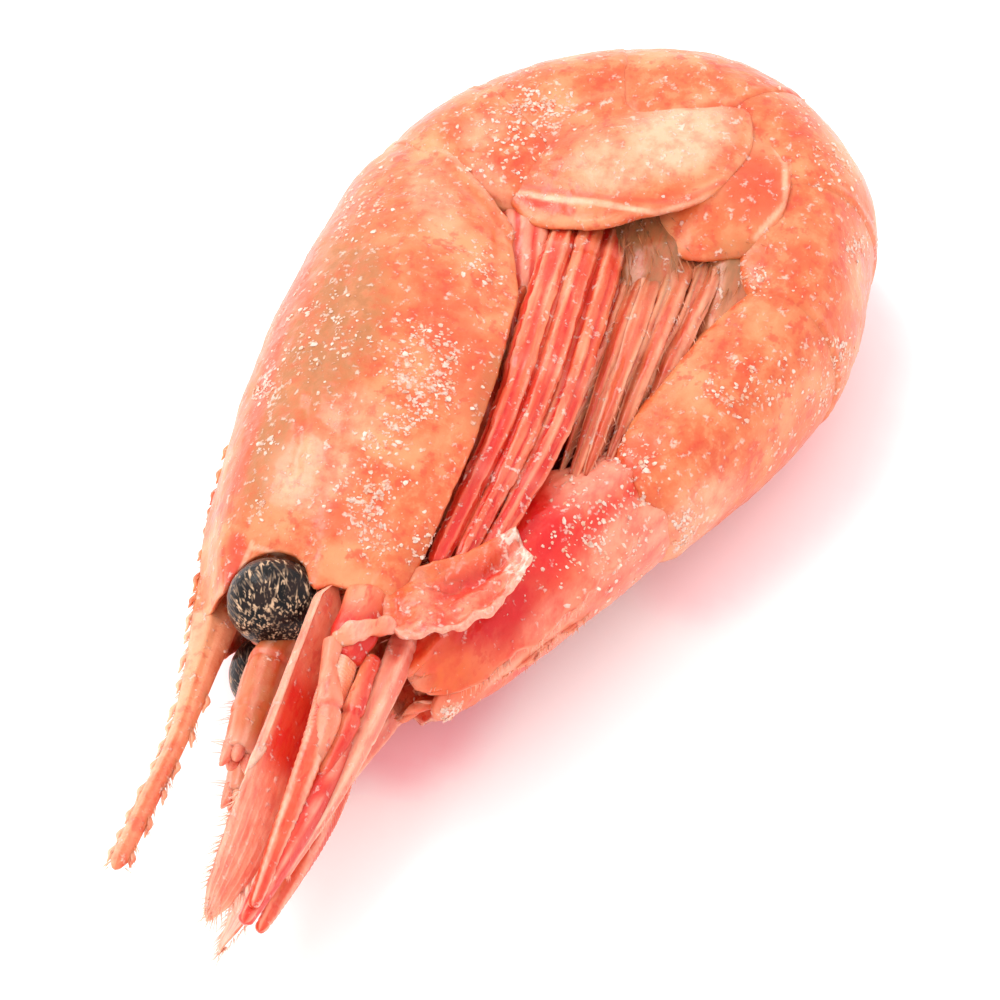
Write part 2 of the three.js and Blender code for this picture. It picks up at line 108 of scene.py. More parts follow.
def read_line(points: Line, x: Array) -> Array:
    """The height at x of a smooth line through points.

    Args:
        points: Pairs of x and height, in rising or falling order of x.
        x: Where the line is read.

    Returns:
        The height at each x, level beyond the ends.
    """
    table = np.array(sorted(points, key=lambda p: p[0]), float)
    xs, ys = table[:, 0], table[:, 1]
    x = np.clip(np.asarray(x, float), xs[0], xs[-1])
    k = np.clip(np.searchsorted(xs, x, side="right") - 1, 0, len(xs) - 2)
    before, after = np.maximum(k - 1, 0), np.minimum(k + 2, len(xs) - 1)
    width = xs[k + 1] - xs[k]
    t = (x - xs[k]) / width
    slope_a = (ys[k + 1] - ys[before]) / (xs[k + 1] - xs[before]) * width
    slope_b = (ys[after] - ys[k]) / (xs[after] - xs[k]) * width
    t2, t3 = t * t, t * t * t
    return (
        (2 * t3 - 3 * t2 + 1) * ys[k]
        + (t3 - 2 * t2 + t) * slope_a
        + (3 * t2 - 2 * t3) * ys[k + 1]
        + (t3 - t2) * slope_b
    )


def read_sizes(sizes: Sequence[float], s: Array) -> Array:
    """The value at place s of a list of sizes, one for each whole number."""
    return read_line([(i, size) for i, size in enumerate(sizes)], s)


def srgb(red: int, green: int, blue: int) -> tuple[float, float, float, float]:
    """A screen colour, 0 to 255 a channel, as the linear colour that a shader reads."""
    channels = [c / 255 for c in (red, green, blue)]
    linear = [c / 12.92 if c <= 0.04045 else ((c + 0.055) / 1.055) ** 2.4 for c in channels]
    return (linear[0], linear[1], linear[2], 1.0)


def curve_through(points: Line, shares: Array) -> Array:
    """Points on a centripetal curve through the given ones.

    Args:
        points: The points that the curve passes through.
        shares: Where it is read, from 0 at its start to 1 at its end.

    Returns:
        One row of three coordinates for each share.
    """
    given = np.array(points, float)
    ends = np.vstack([2 * given[0] - given[1], given, 2 * given[-1] - given[-2]])
    place = np.clip(np.asarray(shares, float), 0, 1) * (len(given) - 1)
    k = np.minimum(place.astype(int), len(given) - 2)
    t = (place - k)[:, None]
    p0, p1, p2, p3 = (ends[k + i] for i in range(4))
    d0, d1, d2 = (
        np.maximum(np.sqrt(np.linalg.norm(b - a, axis=1)), 1e-6)[:, None] for a, b in ((p0, p1), (p1, p2), (p2, p3))
    )
    t1 = ((p1 - p0) / d0 - (p2 - p0) / (d0 + d1) + (p2 - p1) / d1) * d1
    t2 = ((p2 - p1) / d1 - (p3 - p1) / (d1 + d2) + (p3 - p2) / d2) * d1
    return (
        p1
        + t1 * t
        + (-3 * p1 + 3 * p2 - 2 * t1 - t2) * t**2
        + (2 * p1 - 2 * p2 + t1 + t2) * t**3
    )


def animal(x: Array, y: Array, out: Array) -> Array:
    """Stacks places along, towards the back and out to the left into the animal's millimetres."""
    return np.stack(np.broadcast_arrays(x, y, MID + np.asarray(out)), axis=-1)


class Table:
    """The table under the prawn: turns the animal's millimetres into the frame's metres and back."""

    shift = np.zeros(3)

    @classmethod
    def find(cls) -> None:
        """Finds where the frame holds the animal, from the middle of its left eye."""
        low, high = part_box("eye_left")
        middle = (np.array(low) + np.array(high)) / 2 / MM
        x, y, out = EYE_PLACE
        cls.shift = middle - np.array([x, y, MID + out])

    @classmethod
    def frame(cls, points: Array) -> Array:
        """The animal's points in the frame, with nothing below the table."""
        placed = (np.asarray(points, float) + cls.shift) * MM
        placed[..., 2] = np.maximum(placed[..., 2], 0.0)
        return placed

    @classmethod
    def own(cls, points: Array) -> Array:
        """Points of the frame in the animal's millimetres, with the third coordinate out from the middle."""
        placed = np.asarray(points, float) / MM - cls.shift
        placed[..., 2] -= MID
        return placed


def picture(own: Array) -> Array:
    """Where the animal's points fall in the camera's picture, 5.1 units to a millimetre.

    Args:
        own: Points along, towards the back and out, in millimetres. Both sides of the animal read alike.

    Returns:
        The place across and down for each point.
    """
    x, y, out = own[..., 0], own[..., 1], np.abs(own[..., 2])
    across = x * math.cos(VIEW_TURN) - y * math.sin(VIEW_TURN)
    away = x * math.sin(VIEW_TURN) + y * math.cos(VIEW_TURN)
    rise = away * math.sin(VIEW_TILT) + out * math.cos(VIEW_TILT)
    return np.stack([VIEW_MIDDLE[0] + VIEW_SCALE * across, VIEW_MIDDLE[1] - VIEW_SCALE * rise], axis=-1)


def lift(*spots: tuple[float, float, float]) -> Line:
    """The animal's points that the camera sees at given spots.

    Args:
        spots: Across and down in the camera's picture, and the distance out from the animal's middle plane.

    Returns:
        Points along, towards the back and out, in millimetres.
    """
    made = []
    for u, v, out in spots:
        across = (u - VIEW_MIDDLE[0]) / VIEW_SCALE
        away = ((VIEW_MIDDLE[1] - v) / VIEW_SCALE - out * math.cos(VIEW_TILT)) / math.sin(VIEW_TILT)
        x = across * math.cos(VIEW_TURN) + away * math.sin(VIEW_TURN)
        y = away * math.cos(VIEW_TURN) - across * math.sin(VIEW_TURN)
        made.append((x, y, out))
    return tuple(made)


# Marks on the shells


@dataclass(frozen=True)
class Mark:
    """A soft oval of one paint, placed in the camera's picture."""

    paint: Paint
    at: tuple[float, float]
    size: tuple[float, float]
    strength: float = 1.0
    turn: float = 0.0

    def mask(self, places: Array) -> Array:
        """How strong the mark is at each place of the picture."""
        turn = math.radians(self.turn)
        du, dv = places[..., 0] - self.at[0], places[..., 1] - self.at[1]
        along = (du * math.cos(turn) + dv * math.sin(turn)) / self.size[0]
        beside = (dv * math.cos(turn) - du * math.sin(turn)) / self.size[1]
        return self.strength * (1.0 - smooth(0.45, 1.15, np.hypot(along, beside)))


@dataclass(frozen=True)
class Stroke:
    """A soft line of one paint through points of the camera's picture."""

    paint: Paint
    line: tuple[tuple[float, float], ...]
    width: float
    strength: float = 1.0

    def mask(self, places: Array) -> Array:
        """How strong the stroke is at each place of the picture."""
        nearest = np.full(places.shape[:-1], 1e9)
        for a, b in zip(self.line[:-1], self.line[1:]):
            start, step = np.array(a), np.array(b) - np.array(a)
            share = np.clip(((places - start) @ step) / (step @ step), 0, 1)
            away = places - start - share[..., None] * step
            nearest = np.minimum(nearest, np.hypot(away[..., 0], away[..., 1]))
        return self.strength * (1.0 - smooth(0.3 * self.width, self.width, nearest))


def max_of(marks: Iterable[Mark | Stroke], places: Array) -> Array:
    """The strongest of some marks at each place of the picture."""
    total = np.zeros(places.shape[:-1])
    for mark in marks:
        total = np.maximum(total, mark.mask(places))
    return total


def paint_marks(piece: bpy.types.Object, marks: Iterable[Mark | Stroke], extra: dict[Paint, Array] | None = None) -> None:
    """Writes the marks that lie on a piece into its colour attributes.

    Args:
        piece: The finished mesh.
        marks: Ovals and strokes, in the camera's picture.
        extra: Masks worked out for each vertex, added to the marks.
    """
    own = Table.own(vertices_of(piece))
    places = picture(own)
    for paint in Paint:
        total = np.zeros(len(own))
        if extra and paint in extra:
            total = total + extra[paint]
        total = np.maximum(total, max_of([mark for mark in marks if mark.paint is paint], places))
        write_mask(piece, paint, total)


# Mesh making


def vertices_of(piece: bpy.types.Object) -> Array:
    """The places of a piece's vertices, in metres."""
    flat = np.empty(len(piece.data.vertices) * 3)
    piece.data.vertices.foreach_get("co", flat)
    return flat.reshape(-1, 3)


def normals_of(piece: bpy.types.Object) -> Array:
    """The normals of a piece's vertices."""
    flat = np.empty(len(piece.data.vertices) * 3)
    piece.data.vertex_normals.foreach_get("vector", flat)
    return flat.reshape(-1, 3)


def move_vertices(piece: bpy.types.Object, places: Array) -> None:
    """Puts a piece's vertices at new places."""
    piece.data.vertices.foreach_set("co", np.ascontiguousarray(places, dtype=float).reshape(-1))
    piece.data.update()


def write_mask(piece: bpy.types.Object, paint: Paint, values: Array) -> None:
    """Keeps one value of a paint for each vertex of a piece."""
    name = paint.value
    layer = piece.data.attributes.get(name) or piece.data.attributes.new(name, "FLOAT", "POINT")
    layer.data.foreach_set("value", np.clip(np.asarray(values, float), 0, 1).reshape(-1))


def start_alone() -> None:
    """Leaves every object unselected, so that the next operator acts on its own new piece."""
    if bpy.context.object and bpy.context.object.mode != "OBJECT":
        bpy.ops.object.mode_set(mode="OBJECT")
    bpy.ops.object.select_all(action="DESELECT")


def pick(piece: bpy.types.Object) -> None:
    """Selects one piece alone and makes it the active one."""
    start_alone()
    piece.select_set(True)
    bpy.context.view_layer.objects.active = piece


def close_up(piece: bpy.types.Object) -> None:
    """Merges a piece's seam and poles, closes what is open and turns its faces outwards."""
    pick(piece)
    bpy.ops.object.mode_set(mode="EDIT")
    bpy.ops.mesh.select_all(action="SELECT")
    bpy.ops.mesh.remove_doubles(threshold=2e-7)
    bpy.ops.mesh.dissolve_degenerate(threshold=1e-7)
    bpy.ops.mesh.select_all(action="SELECT")
    bpy.ops.mesh.normals_make_consistent(inside=False)
    bpy.ops.object.mode_set(mode="OBJECT")
    bpy.ops.object.shade_smooth()


def skin(name: str, rows: Array, paint: dict[Paint, Array] | None = None) -> bpy.types.Object:
    """A closed skin over rows of points.

    Args:
        name: The piece's name.
        rows: Rings of points in the animal's millimetres, from one end to the other. The first and the last
            ring come together in one point, which closes the ends.
        paint: Masks for each point of the rows.

    Returns:
        The piece, smooth and with its faces outwards.
    """
    stations, around = rows.shape[:2]
    start_alone()
    bpy.ops.mesh.primitive_grid_add(x_subdivisions=around, y_subdivisions=stations - 1, size=0.01)
    piece = bpy.context.object
    piece.name = name
    wrapped = np.concatenate([rows, rows[:, :1]], axis=1)
    move_vertices(piece, Table.frame(wrapped))
    for kind, values in (paint or {}).items():
        whole = np.broadcast_to(values, (stations, around))
        write_mask(piece, kind, np.concatenate([whole, whole[:, :1]], axis=1))
    close_up(piece)
    return piece


def sheet(name: str, middle: Array, half_thick: Array, paint: dict[Paint, Array] | None = None) -> bpy.types.Object:
    """A thin closed sheet, sharp at its two long edges.

    Args:
        name: The piece's name.
        middle: A grid of points in the animal's millimetres, stations by places across.
        half_thick: Half the thickness at each of them.
        paint: Masks for the grid.

    Returns:
        The piece.
    """
    along, across = np.gradient(middle, axis=0), np.gradient(middle, axis=1)
    facing = np.cross(along, across)
    facing /= np.maximum(np.linalg.norm(facing, axis=-1), 1e-9)[..., None]
    thick = np.broadcast_to(half_thick, middle.shape[:2])[..., None]

    def both(grid: Array, other: Array) -> Array:
        """One grid and, the other way round, the inner columns of the other."""
        ring = np.concatenate([grid, other[:, ::-1][:, 1:-1]], axis=1)
        return np.concatenate([ring[:1], ring, ring[-1:]])

    rows = both(middle + facing * thick, middle - facing * thick)
    rows[0], rows[-1] = rows[0].mean(axis=0), rows[-1].mean(axis=0)
    whole = {kind: np.broadcast_to(mask, middle.shape[:2]) for kind, mask in (paint or {}).items()}
    return skin(name, rows, {kind: both(mask, mask) for kind, mask in whole.items()})


def fringe(name: str, roots: Array, ways: Array, lengths: Array, thickness: float, paint: Paint = Paint.PALE) -> bpy.types.Object:
    """Fine bristles, each a thin three-sided cone.

    Args:
        name: The piece's name.
        roots: Where each bristle starts, in the animal's millimetres.
        ways: The way that each one points.
        lengths: How long each one is, in millimetres.
        thickness: Their radius at the root, in millimetres.
        paint: The paint that they are covered with.

    Returns:
        All of them as one piece.
    """
    ways = ways / np.linalg.norm(ways, axis=1)[:, None]
    start_alone()
    bpy.ops.mesh.primitive_cone_add(vertices=3, radius1=1.0, radius2=0.0, depth=1.0)
    sizes = np.stack([0 * lengths + thickness, 0 * lengths + thickness, lengths], axis=1) * MM
    frames = stand_on(ways, 2.4 * np.arange(len(roots))) * sizes[:, None, :]
    middles = (roots + 0.5 * lengths[:, None] * ways + Table.shift) * MM
    piece = scatter(name, bpy.context.object, middles, frames)
    write_mask(piece, paint, np.full(len(piece.data.vertices), 0.8))
    return piece


def scatter(name: str, template: bpy.types.Object, places: Array, frames: Array) -> bpy.types.Object:
    """Copies a small shape to many places as one piece.

    Args:
        name: The piece's name.
        template: The shape, which is deleted afterwards.
        places: Where each copy goes, in metres.
        frames: For each copy, a matrix that turns and scales the shape.

    Returns:
        The piece.
    """
    shape = vertices_of(template)
    faces = [tuple(p.vertices) for p in template.data.polygons]
    points = np.einsum("nij,vj->nvi", frames, shape) + places[:, None, :]
    points[..., 2] = np.maximum(points[..., 2], 0.0)
    count = len(shape)
    everything = [tuple(v + count * i for v in face) for i in range(len(places)) for face in faces]
    mesh = bpy.data.meshes.new(name)
    mesh.from_pydata(points.reshape(-1, 3).tolist(), [], everything)
    piece = bpy.data.objects.new(name, mesh)
    bpy.context.scene.collection.objects.link(piece)
    bpy.data.objects.remove(template)
    pick(piece)
    return piece


def stand_on(normals: Array, spin: Array) -> Array:
    """Turning matrices whose third axis is each normal, spun about it."""
    aside = np.where(np.abs(normals[:, 2:3]) < 0.9, [[0.0, 0.0, 1.0]], [[1.0, 0.0, 0.0]])
    first = np.cross(aside, normals)
    first /= np.linalg.norm(first, axis=1)[:, None]
    second = np.cross(normals, first)
    c, s = np.cos(spin)[:, None], np.sin(spin)[:, None]
    return np.stack([first * c + second * s, second * c - first * s, normals], axis=2)


def join(name: str, pieces: Sequence[bpy.types.Object]) -> bpy.types.Object:
    """Joins pieces into one object."""
    start_alone()
    for piece in pieces:
        piece.select_set(True)
    bpy.context.view_layer.objects.active = pieces[0]
    if len(pieces) > 1:
        bpy.ops.object.join()
    pieces[0].name = name
    return pieces[0]


def settle(piece: bpy.types.Object) -> None:
    """Lifts whatever a modifier moved below the table back onto it."""
    places = vertices_of(piece)
    places[:, 2] = np.maximum(places[:, 2], 0.0)
    move_vertices(piece, places)


def roughen(piece: bpy.types.Object, size: float, height: float) -> None:
    """Gives a piece low uneven relief.

    Args:
        piece: The mesh that is changed.
        size: Size of the lumps, in millimetres.
        height: How far they rise and sink together, in millimetres.
    """
    pick(piece)
    clouds = bpy.data.textures.new(f"{piece.name}_lumps", "CLOUDS")
    clouds.noise_scale = size * MM
    clouds.noise_depth = 3
    lumps = piece.modifiers.new("lumps", "DISPLACE")
    lumps.texture = clouds
    lumps.texture_coords = "LOCAL"
    lumps.strength = height * MM
    lumps.mid_level = 0.5
    bpy.ops.object.modifier_apply(modifier=lumps.name)
    settle(piece)


def fuse(piece: bpy.types.Object, voxel: float, rounds: int) -> None:
    """Melts overlapping bodies into one even skin and softens the creases between them."""
    pick(piece)
    melt = piece.modifiers.new("melt", "REMESH")
    melt.mode = "VOXEL"
    melt.voxel_size = voxel * MM
    bpy.ops.object.modifier_apply(modifier=melt.name)
    soften = piece.modifiers.new("soften", "SMOOTH")
    soften.factor = 0.5
    soften.iterations = rounds
    bpy.ops.object.modifier_apply(modifier=soften.name)
    bpy.ops.object.shade_smooth()
    settle(piece)


def dress(piece: bpy.types.Object, material: bpy.types.Material, nodes: Sequence[str] = ()) -> None:
    """Gives a piece its finish and its place on the body, and hides the CAD nodes that it replaces.

    Args:
        piece: The finished piece.
        material: What it is painted with.
        nodes: The CAD nodes that it replaces.
    """
    piece.data.materials.clear()
    piece.data.materials.append(material)
    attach(piece, "root")
    if nodes:
        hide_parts(*nodes)
    log.info("%s: %d faces", piece.name, len(piece.data.polygons))


@dataclass
class Limb:
    """A round or flattened limb along a smooth line, in the animal's millimetres."""

    line: Line
    radii: Sequence[float]
    flat: float = 1.0
    roll: float = 0.0
    tip: float = 0.5  # length over which each end is rounded off

    def frames(self, shares: Array) -> tuple[Array, Array, Array, Array]:
        """The limb's middle, its direction, and the two directions across it at each share."""
        points = [(x, y, MID + out) for x, y, out in self.line]
        middle = curve_through(points, shares)
        nudge = 1e-3
        ahead = curve_through(points, np.clip(shares + nudge, 0, 1))
        behind = curve_through(points, np.clip(shares - nudge, 0, 1))
        along = ahead - behind
        along /= np.linalg.norm(along, axis=1)[:, None]
        level = np.cross([0.0, 0.0, 1.0], along)
        level /= np.linalg.norm(level, axis=1)[:, None]
        turn = math.radians(self.roll)
        upright = np.cross(along, level)
        rolled = level * math.cos(turn) + upright * math.sin(turn)
        return middle, along, rolled, np.cross(along, rolled)

    def rows(self, sides: int, steps: int, relief: Callable[[Array, Array], Array] | None = None) -> tuple[Array, Array, Array]:
        """The limb's rings, and the share along it and the angle round it of each point.

        Args:
            sides: Points in a ring.
            steps: Rings along the limb.
            relief: What each share and angle adds to the radius, as a share of it.

        Returns:
            The rings, the shares as a column and the angles as a row.
        """
        shares = 0.5 - 0.5 * np.cos(np.linspace(0, math.pi, steps))
        shares = 0.35 * shares + 0.65 * np.linspace(0, 1, steps)
        middle, _, wide, deep = self.frames(shares)
        travelled = np.concatenate([[0], np.cumsum(np.linalg.norm(np.diff(middle, axis=0), axis=1))])
        length = travelled[-1]
        tip = min(self.tip, 0.3 * length)
        near = np.minimum(travelled, length - travelled) / tip
        rounding = np.sqrt(np.clip(1 - (1 - np.clip(near, 0, 1)) ** 2, 0, 1))
        radius = (read_sizes(self.radii, shares * (len(self.radii) - 1)) * rounding)[:, None]
        angle = np.linspace(0, 2 * math.pi, sides, endpoint=False)[None, :]
        if relief is not None:
            radius = radius * (1 + relief(shares[:, None], angle))
        else:
            radius = radius * np.ones_like(angle)
        ring = (
            middle[:, None, :]
            + wide[:, None, :] * (radius * np.cos(angle))[..., None]
            + deep[:, None, :] * (radius * self.flat * np.sin(angle))[..., None]
        )
        return ring, shares[:, None], angle


def joints(shares: Array, places: Sequence[float], swell: float, width: float) -> Array:
    """Swellings with a waist behind each, at the joints of a limb."""
    total = np.zeros_like(shares)
    for place in places:
        total = total + swell * bump(place - 0.6 * width, width, shares)
        total = total - 1.5 * swell * bump(place + 0.5 * width, 0.35 * width, shares)
    return total


# Finishes


class Nodes:
    """A small hand for building a node tree."""

    def __init__(self, tree: bpy.types.NodeTree) -> None:
        """Keeps the tree that is built."""
        self.tree = tree

    def add(self, kind: str, **values: object) -> bpy.types.Node:
        """Adds a node.

        Args:
            kind: The node's type.
            values: Its settings, or where a name is not a setting, the value of the input of that name.

        Returns:
            The new node.
        """
        node = self.tree.nodes.new(kind)
        for name, value in values.items():
            if hasattr(node, name):
                setattr(node, name, value)
            else:
                node.inputs[name.replace("_", " ")].default_value = value
        return node

    def link(self, source: bpy.types.NodeSocket, target: bpy.types.NodeSocket) -> None:
        """Joins an output to an input."""
        self.tree.links.new(source, target)

    def math(self, operation: str, first: object, second: object = 0.0, clamp: bool = False) -> bpy.types.NodeSocket:
        """The output of a Math node on two sockets or numbers."""
        node = self.add("ShaderNodeMath", operation=operation, use_clamp=clamp)
        for socket, value in zip(node.inputs, (first, second)):
            if isinstance(value, bpy.types.NodeSocket):
                self.link(value, socket)
            else:
                socket.default_value = value
        return node.outputs[0]

    def mix(self, share: object, first: object, second: object, blend: str = "MIX") -> bpy.types.NodeSocket:
        """The output of a colour Mix node on sockets or values."""
        node = self.add("ShaderNodeMix", data_type="RGBA", blend_type=blend)
        for socket, value in zip((node.inputs[0], node.inputs[6], node.inputs[7]), (share, first, second)):
            if isinstance(value, bpy.types.NodeSocket):
                self.link(value, socket)
            else:
                socket.default_value = value
        return node.outputs[2]

    def ramp(self, source: bpy.types.NodeSocket, low: float, high: float) -> bpy.types.NodeSocket:
        """A soft step of a socket's value, from 0 at low to 1 at high."""
        node = self.add("ShaderNodeMapRange", interpolation_type="SMOOTHSTEP")
        node.inputs["From Min"].default_value = low
        node.inputs["From Max"].default_value = high
        self.link(source, node.inputs["Value"])
        return node.outputs["Result"]

    def noise(self, place: bpy.types.NodeSocket, scale: object, detail: float = 4.0, rough: float = 0.55) -> bpy.types.NodeSocket:
        """The value of a Noise texture at a place."""
        node = self.add("ShaderNodeTexNoise", Detail=detail, Roughness=rough)
        self.link(place, node.inputs["Vector"])
        if isinstance(scale, bpy.types.NodeSocket):
            self.link(scale, node.inputs["Scale"])
        else:
            node.inputs["Scale"].default_value = scale
        return node.outputs[0]


def new_group(name: str, inputs: dict[str, object], outputs: dict[str, str]) -> tuple[bpy.types.NodeTree, Nodes, dict, dict]:
    """An empty shader group with named sockets.

    Args:
        name: The group's name.
        inputs: Each input's name and default value, a number or a colour.
        outputs: Each output's name and socket type.

    Returns:
        The group, a hand for building it, its input sockets and its output sockets.
    """
    group = bpy.data.node_groups.new(name, "ShaderNodeTree")
    for label, value in inputs.items():
        kind = "NodeSocketFloat" if isinstance(value, (int, float)) else "NodeSocketColor"
        group.interface.new_socket(label, in_out="INPUT", socket_type=kind).default_value = value
    for label, kind in outputs.items():
        group.interface.new_socket(label, in_out="OUTPUT", socket_type=kind)
    hand = Nodes(group)
    entry = hand.add("NodeGroupInput")
    end = hand.add("NodeGroupOutput")
    return group, hand, {s.name: s for s in entry.outputs}, {s.name: s for s in end.inputs}


class Effects:
    """The effects that several finishes share, each a node group that is built once."""

    def __init__(self) -> None:
        """Builds every group."""
        self.mottle = self._mottle()
        self.frosting = self._frosting()

    @staticmethod
    def _mottle() -> bpy.types.NodeTree:
        """Cloudy patches of a lighter and a deeper colour, and how they wander over the piece."""
        group, hand, given, made = new_group(
            "shell_mottle",
            {"Base": srgb(205, 105, 66), "Light": srgb(222, 150, 108), "Deep": srgb(190, 50, 26), "Scale": 350.0, "Stretch": 1.0},
            {"Color": "NodeSocketColor", "Wander": "NodeSocketFloat"},
        )
        coords = hand.add("ShaderNodeTexCoord").outputs["Object"]
        squeeze = hand.add("ShaderNodeVectorMath", operation="MULTIPLY")
        combine = hand.add("ShaderNodeCombineXYZ", Y=1.0, Z=1.0)
        hand.link(given["Stretch"], combine.inputs["X"])
        hand.link(coords, squeeze.inputs[0])
        hand.link(combine.outputs[0], squeeze.inputs[1])
        place = squeeze.outputs[0]
        broad = hand.noise(place, given["Scale"], 2.0, 0.6)
        finer = hand.noise(place, hand.math("MULTIPLY", given["Scale"], 3.7), 3.0, 0.7)
        colour = hand.mix(hand.ramp(broad, 0.46, 0.70), given["Base"], given["Light"])
        colour = hand.mix(hand.math("MULTIPLY", hand.ramp(broad, 0.50, 0.30), 0.45), colour, given["Deep"])
        colour = hand.mix(hand.math("MULTIPLY", hand.ramp(finer, 0.50, 0.66), 0.5), colour, given["Light"])
        colour = hand.mix(hand.math("MULTIPLY", hand.ramp(finer, 0.48, 0.34), 0.6), colour, given["Deep"])
        hand.link(colour, made["Color"])
        hand.link(hand.ramp(finer, 0.3, 0.7), made["Wander"])
        return group

    @staticmethod
    def _frosting() -> bpy.types.NodeTree:
        """Frost that breaks up into crumbs where there is less of it, and the shell's pitted grain under it."""
        group, hand, given, made = new_group(
            "frost_and_grain",
            {"Amount": 0.0, "Scale": 3000.0, "Grain": 0.03, "Ice": 0.05},
            {"Mask": "NodeSocketFloat", "Height": "NodeSocketFloat"},
        )
        place = hand.add("ShaderNodeTexCoord").outputs["Object"]
        crumbs = hand.noise(place, given["Scale"], 2.0, 0.6)
        cells = hand.add("ShaderNodeTexVoronoi")
        hand.link(place, cells.inputs["Vector"])
        hand.link(hand.math("MULTIPLY", given["Scale"], 0.45), cells.inputs["Scale"])
        lumps = hand.math("SUBTRACT", crumbs, hand.math("MULTIPLY", cells.outputs["Distance"], 0.22))
        threshold = hand.math("SUBTRACT", 0.54, hand.math("MULTIPLY", given["Amount"], 0.30))
        mask = hand.ramp(hand.math("SUBTRACT", lumps, threshold), 0.0, 0.15)
        hand.link(mask, made["Mask"])
        pits = hand.math("SUBTRACT", crumbs, hand.math("MULTIPLY", hand.ramp(cells.outputs["Distance"], 0.4, 0.0), 0.5))
        height = hand.math("ADD", hand.math("MULTIPLY", pits, given["Grain"]), hand.math("MULTIPLY", mask, given["Ice"]))
        hand.link(height, made["Height"])
        return group


@dataclass(frozen=True)
class SkinFinish:
    """The cooked shell of one kind of piece: mottled, a little see-through, wet, and frosted in places."""

    name: str
    slot: str
    base: tuple[float, ...]
    light: tuple[float, ...]
    deep: tuple[float, ...]
    pale: tuple[float, ...] = srgb(232, 172, 140)
    brown: tuple[float, ...] = srgb(170, 102, 52)
    scale: float = 330.0
    stretch: float = 1.0
    grain: float = 3000.0
    grain_height: float = 0.035
    rough: float = 0.38
    coat: float = 0.16
    glow: float = 0.3
    film: float = 0.2

    def material(self, effects: Effects) -> bpy.types.Material:
        """Builds the finish.

        Args:
            effects: The shared node groups.

        Returns:
            The new material.
        """
        made = bpy.data.materials.new(self.name)
        made.use_nodes = True
        hand = Nodes(made.node_tree)
        shader = made.node_tree.nodes["Principled BSDF"]
        shader.inputs["Subsurface Weight"].default_value = self.glow
        shader.inputs["Subsurface Radius"].default_value = (1.0, 0.35, 0.2)
        shader.inputs["Subsurface Scale"].default_value = 0.7 * MM
        shader.inputs["IOR"].default_value = 1.5
        shader.inputs["Specular IOR Level"].default_value = 0.34
        shader.inputs["Coat Weight"].default_value = self.coat
        shader.inputs["Coat Roughness"].default_value = 0.15
        mottle = hand.add("ShaderNodeGroup", node_tree=effects.mottle)
        for label, value in (("Base", self.base), ("Light", self.light), ("Deep", self.deep)):
            mottle.inputs[label].default_value = value
        mottle.inputs["Scale"].default_value = self.scale
        mottle.inputs["Stretch"].default_value = self.stretch
        masks = {
            paint: hand.add("ShaderNodeAttribute", attribute_name=paint.value).outputs["Fac"] for paint in Paint
        }
        wander = mottle.outputs["Wander"]
        uneven = hand.math("ADD", hand.math("MULTIPLY", wander, 0.6), 0.6)
        colour = mottle.outputs["Color"]
        # The marks' colours go on here, and with them the painted highlight and painted shade that some marks hold.
        for paint, paint_colour in ((Paint.BROWN, self.brown), (Paint.DEEP, self.deep), (Paint.PALE, self.pale)):
            strength = hand.math("MULTIPLY", masks[paint], uneven, clamp=True)
            colour = hand.mix(strength, colour, paint_colour)
        frosting = hand.add("ShaderNodeGroup", node_tree=effects.frosting)
        frosting.inputs["Scale"].default_value = self.grain
        frosting.inputs["Grain"].default_value = self.grain_height
        amount = hand.math("ADD", masks[Paint.FROST], hand.math("MULTIPLY", uneven, self.film), clamp=True)
        hand.link(amount, frosting.inputs["Amount"])
        veil = hand.math("MULTIPLY", frosting.outputs["Mask"], hand.math("ADD", hand.math("MULTIPLY", masks[Paint.FROST], 0.4), 0.4))
        colour = hand.mix(veil, colour, srgb(246, 226, 214))
        hand.link(colour, shader.inputs["Base Color"])
        hand.link(hand.math("ADD", hand.math("MULTIPLY", wander, 0.2), self.rough - 0.1), shader.inputs["Roughness"])
        relief = hand.add("ShaderNodeBump", Strength=0.9, Distance=MM)
        hand.link(frosting.outputs["Height"], relief.inputs["Height"])
        hand.link(relief.outputs["Normal"], shader.inputs["Normal"])
        return made


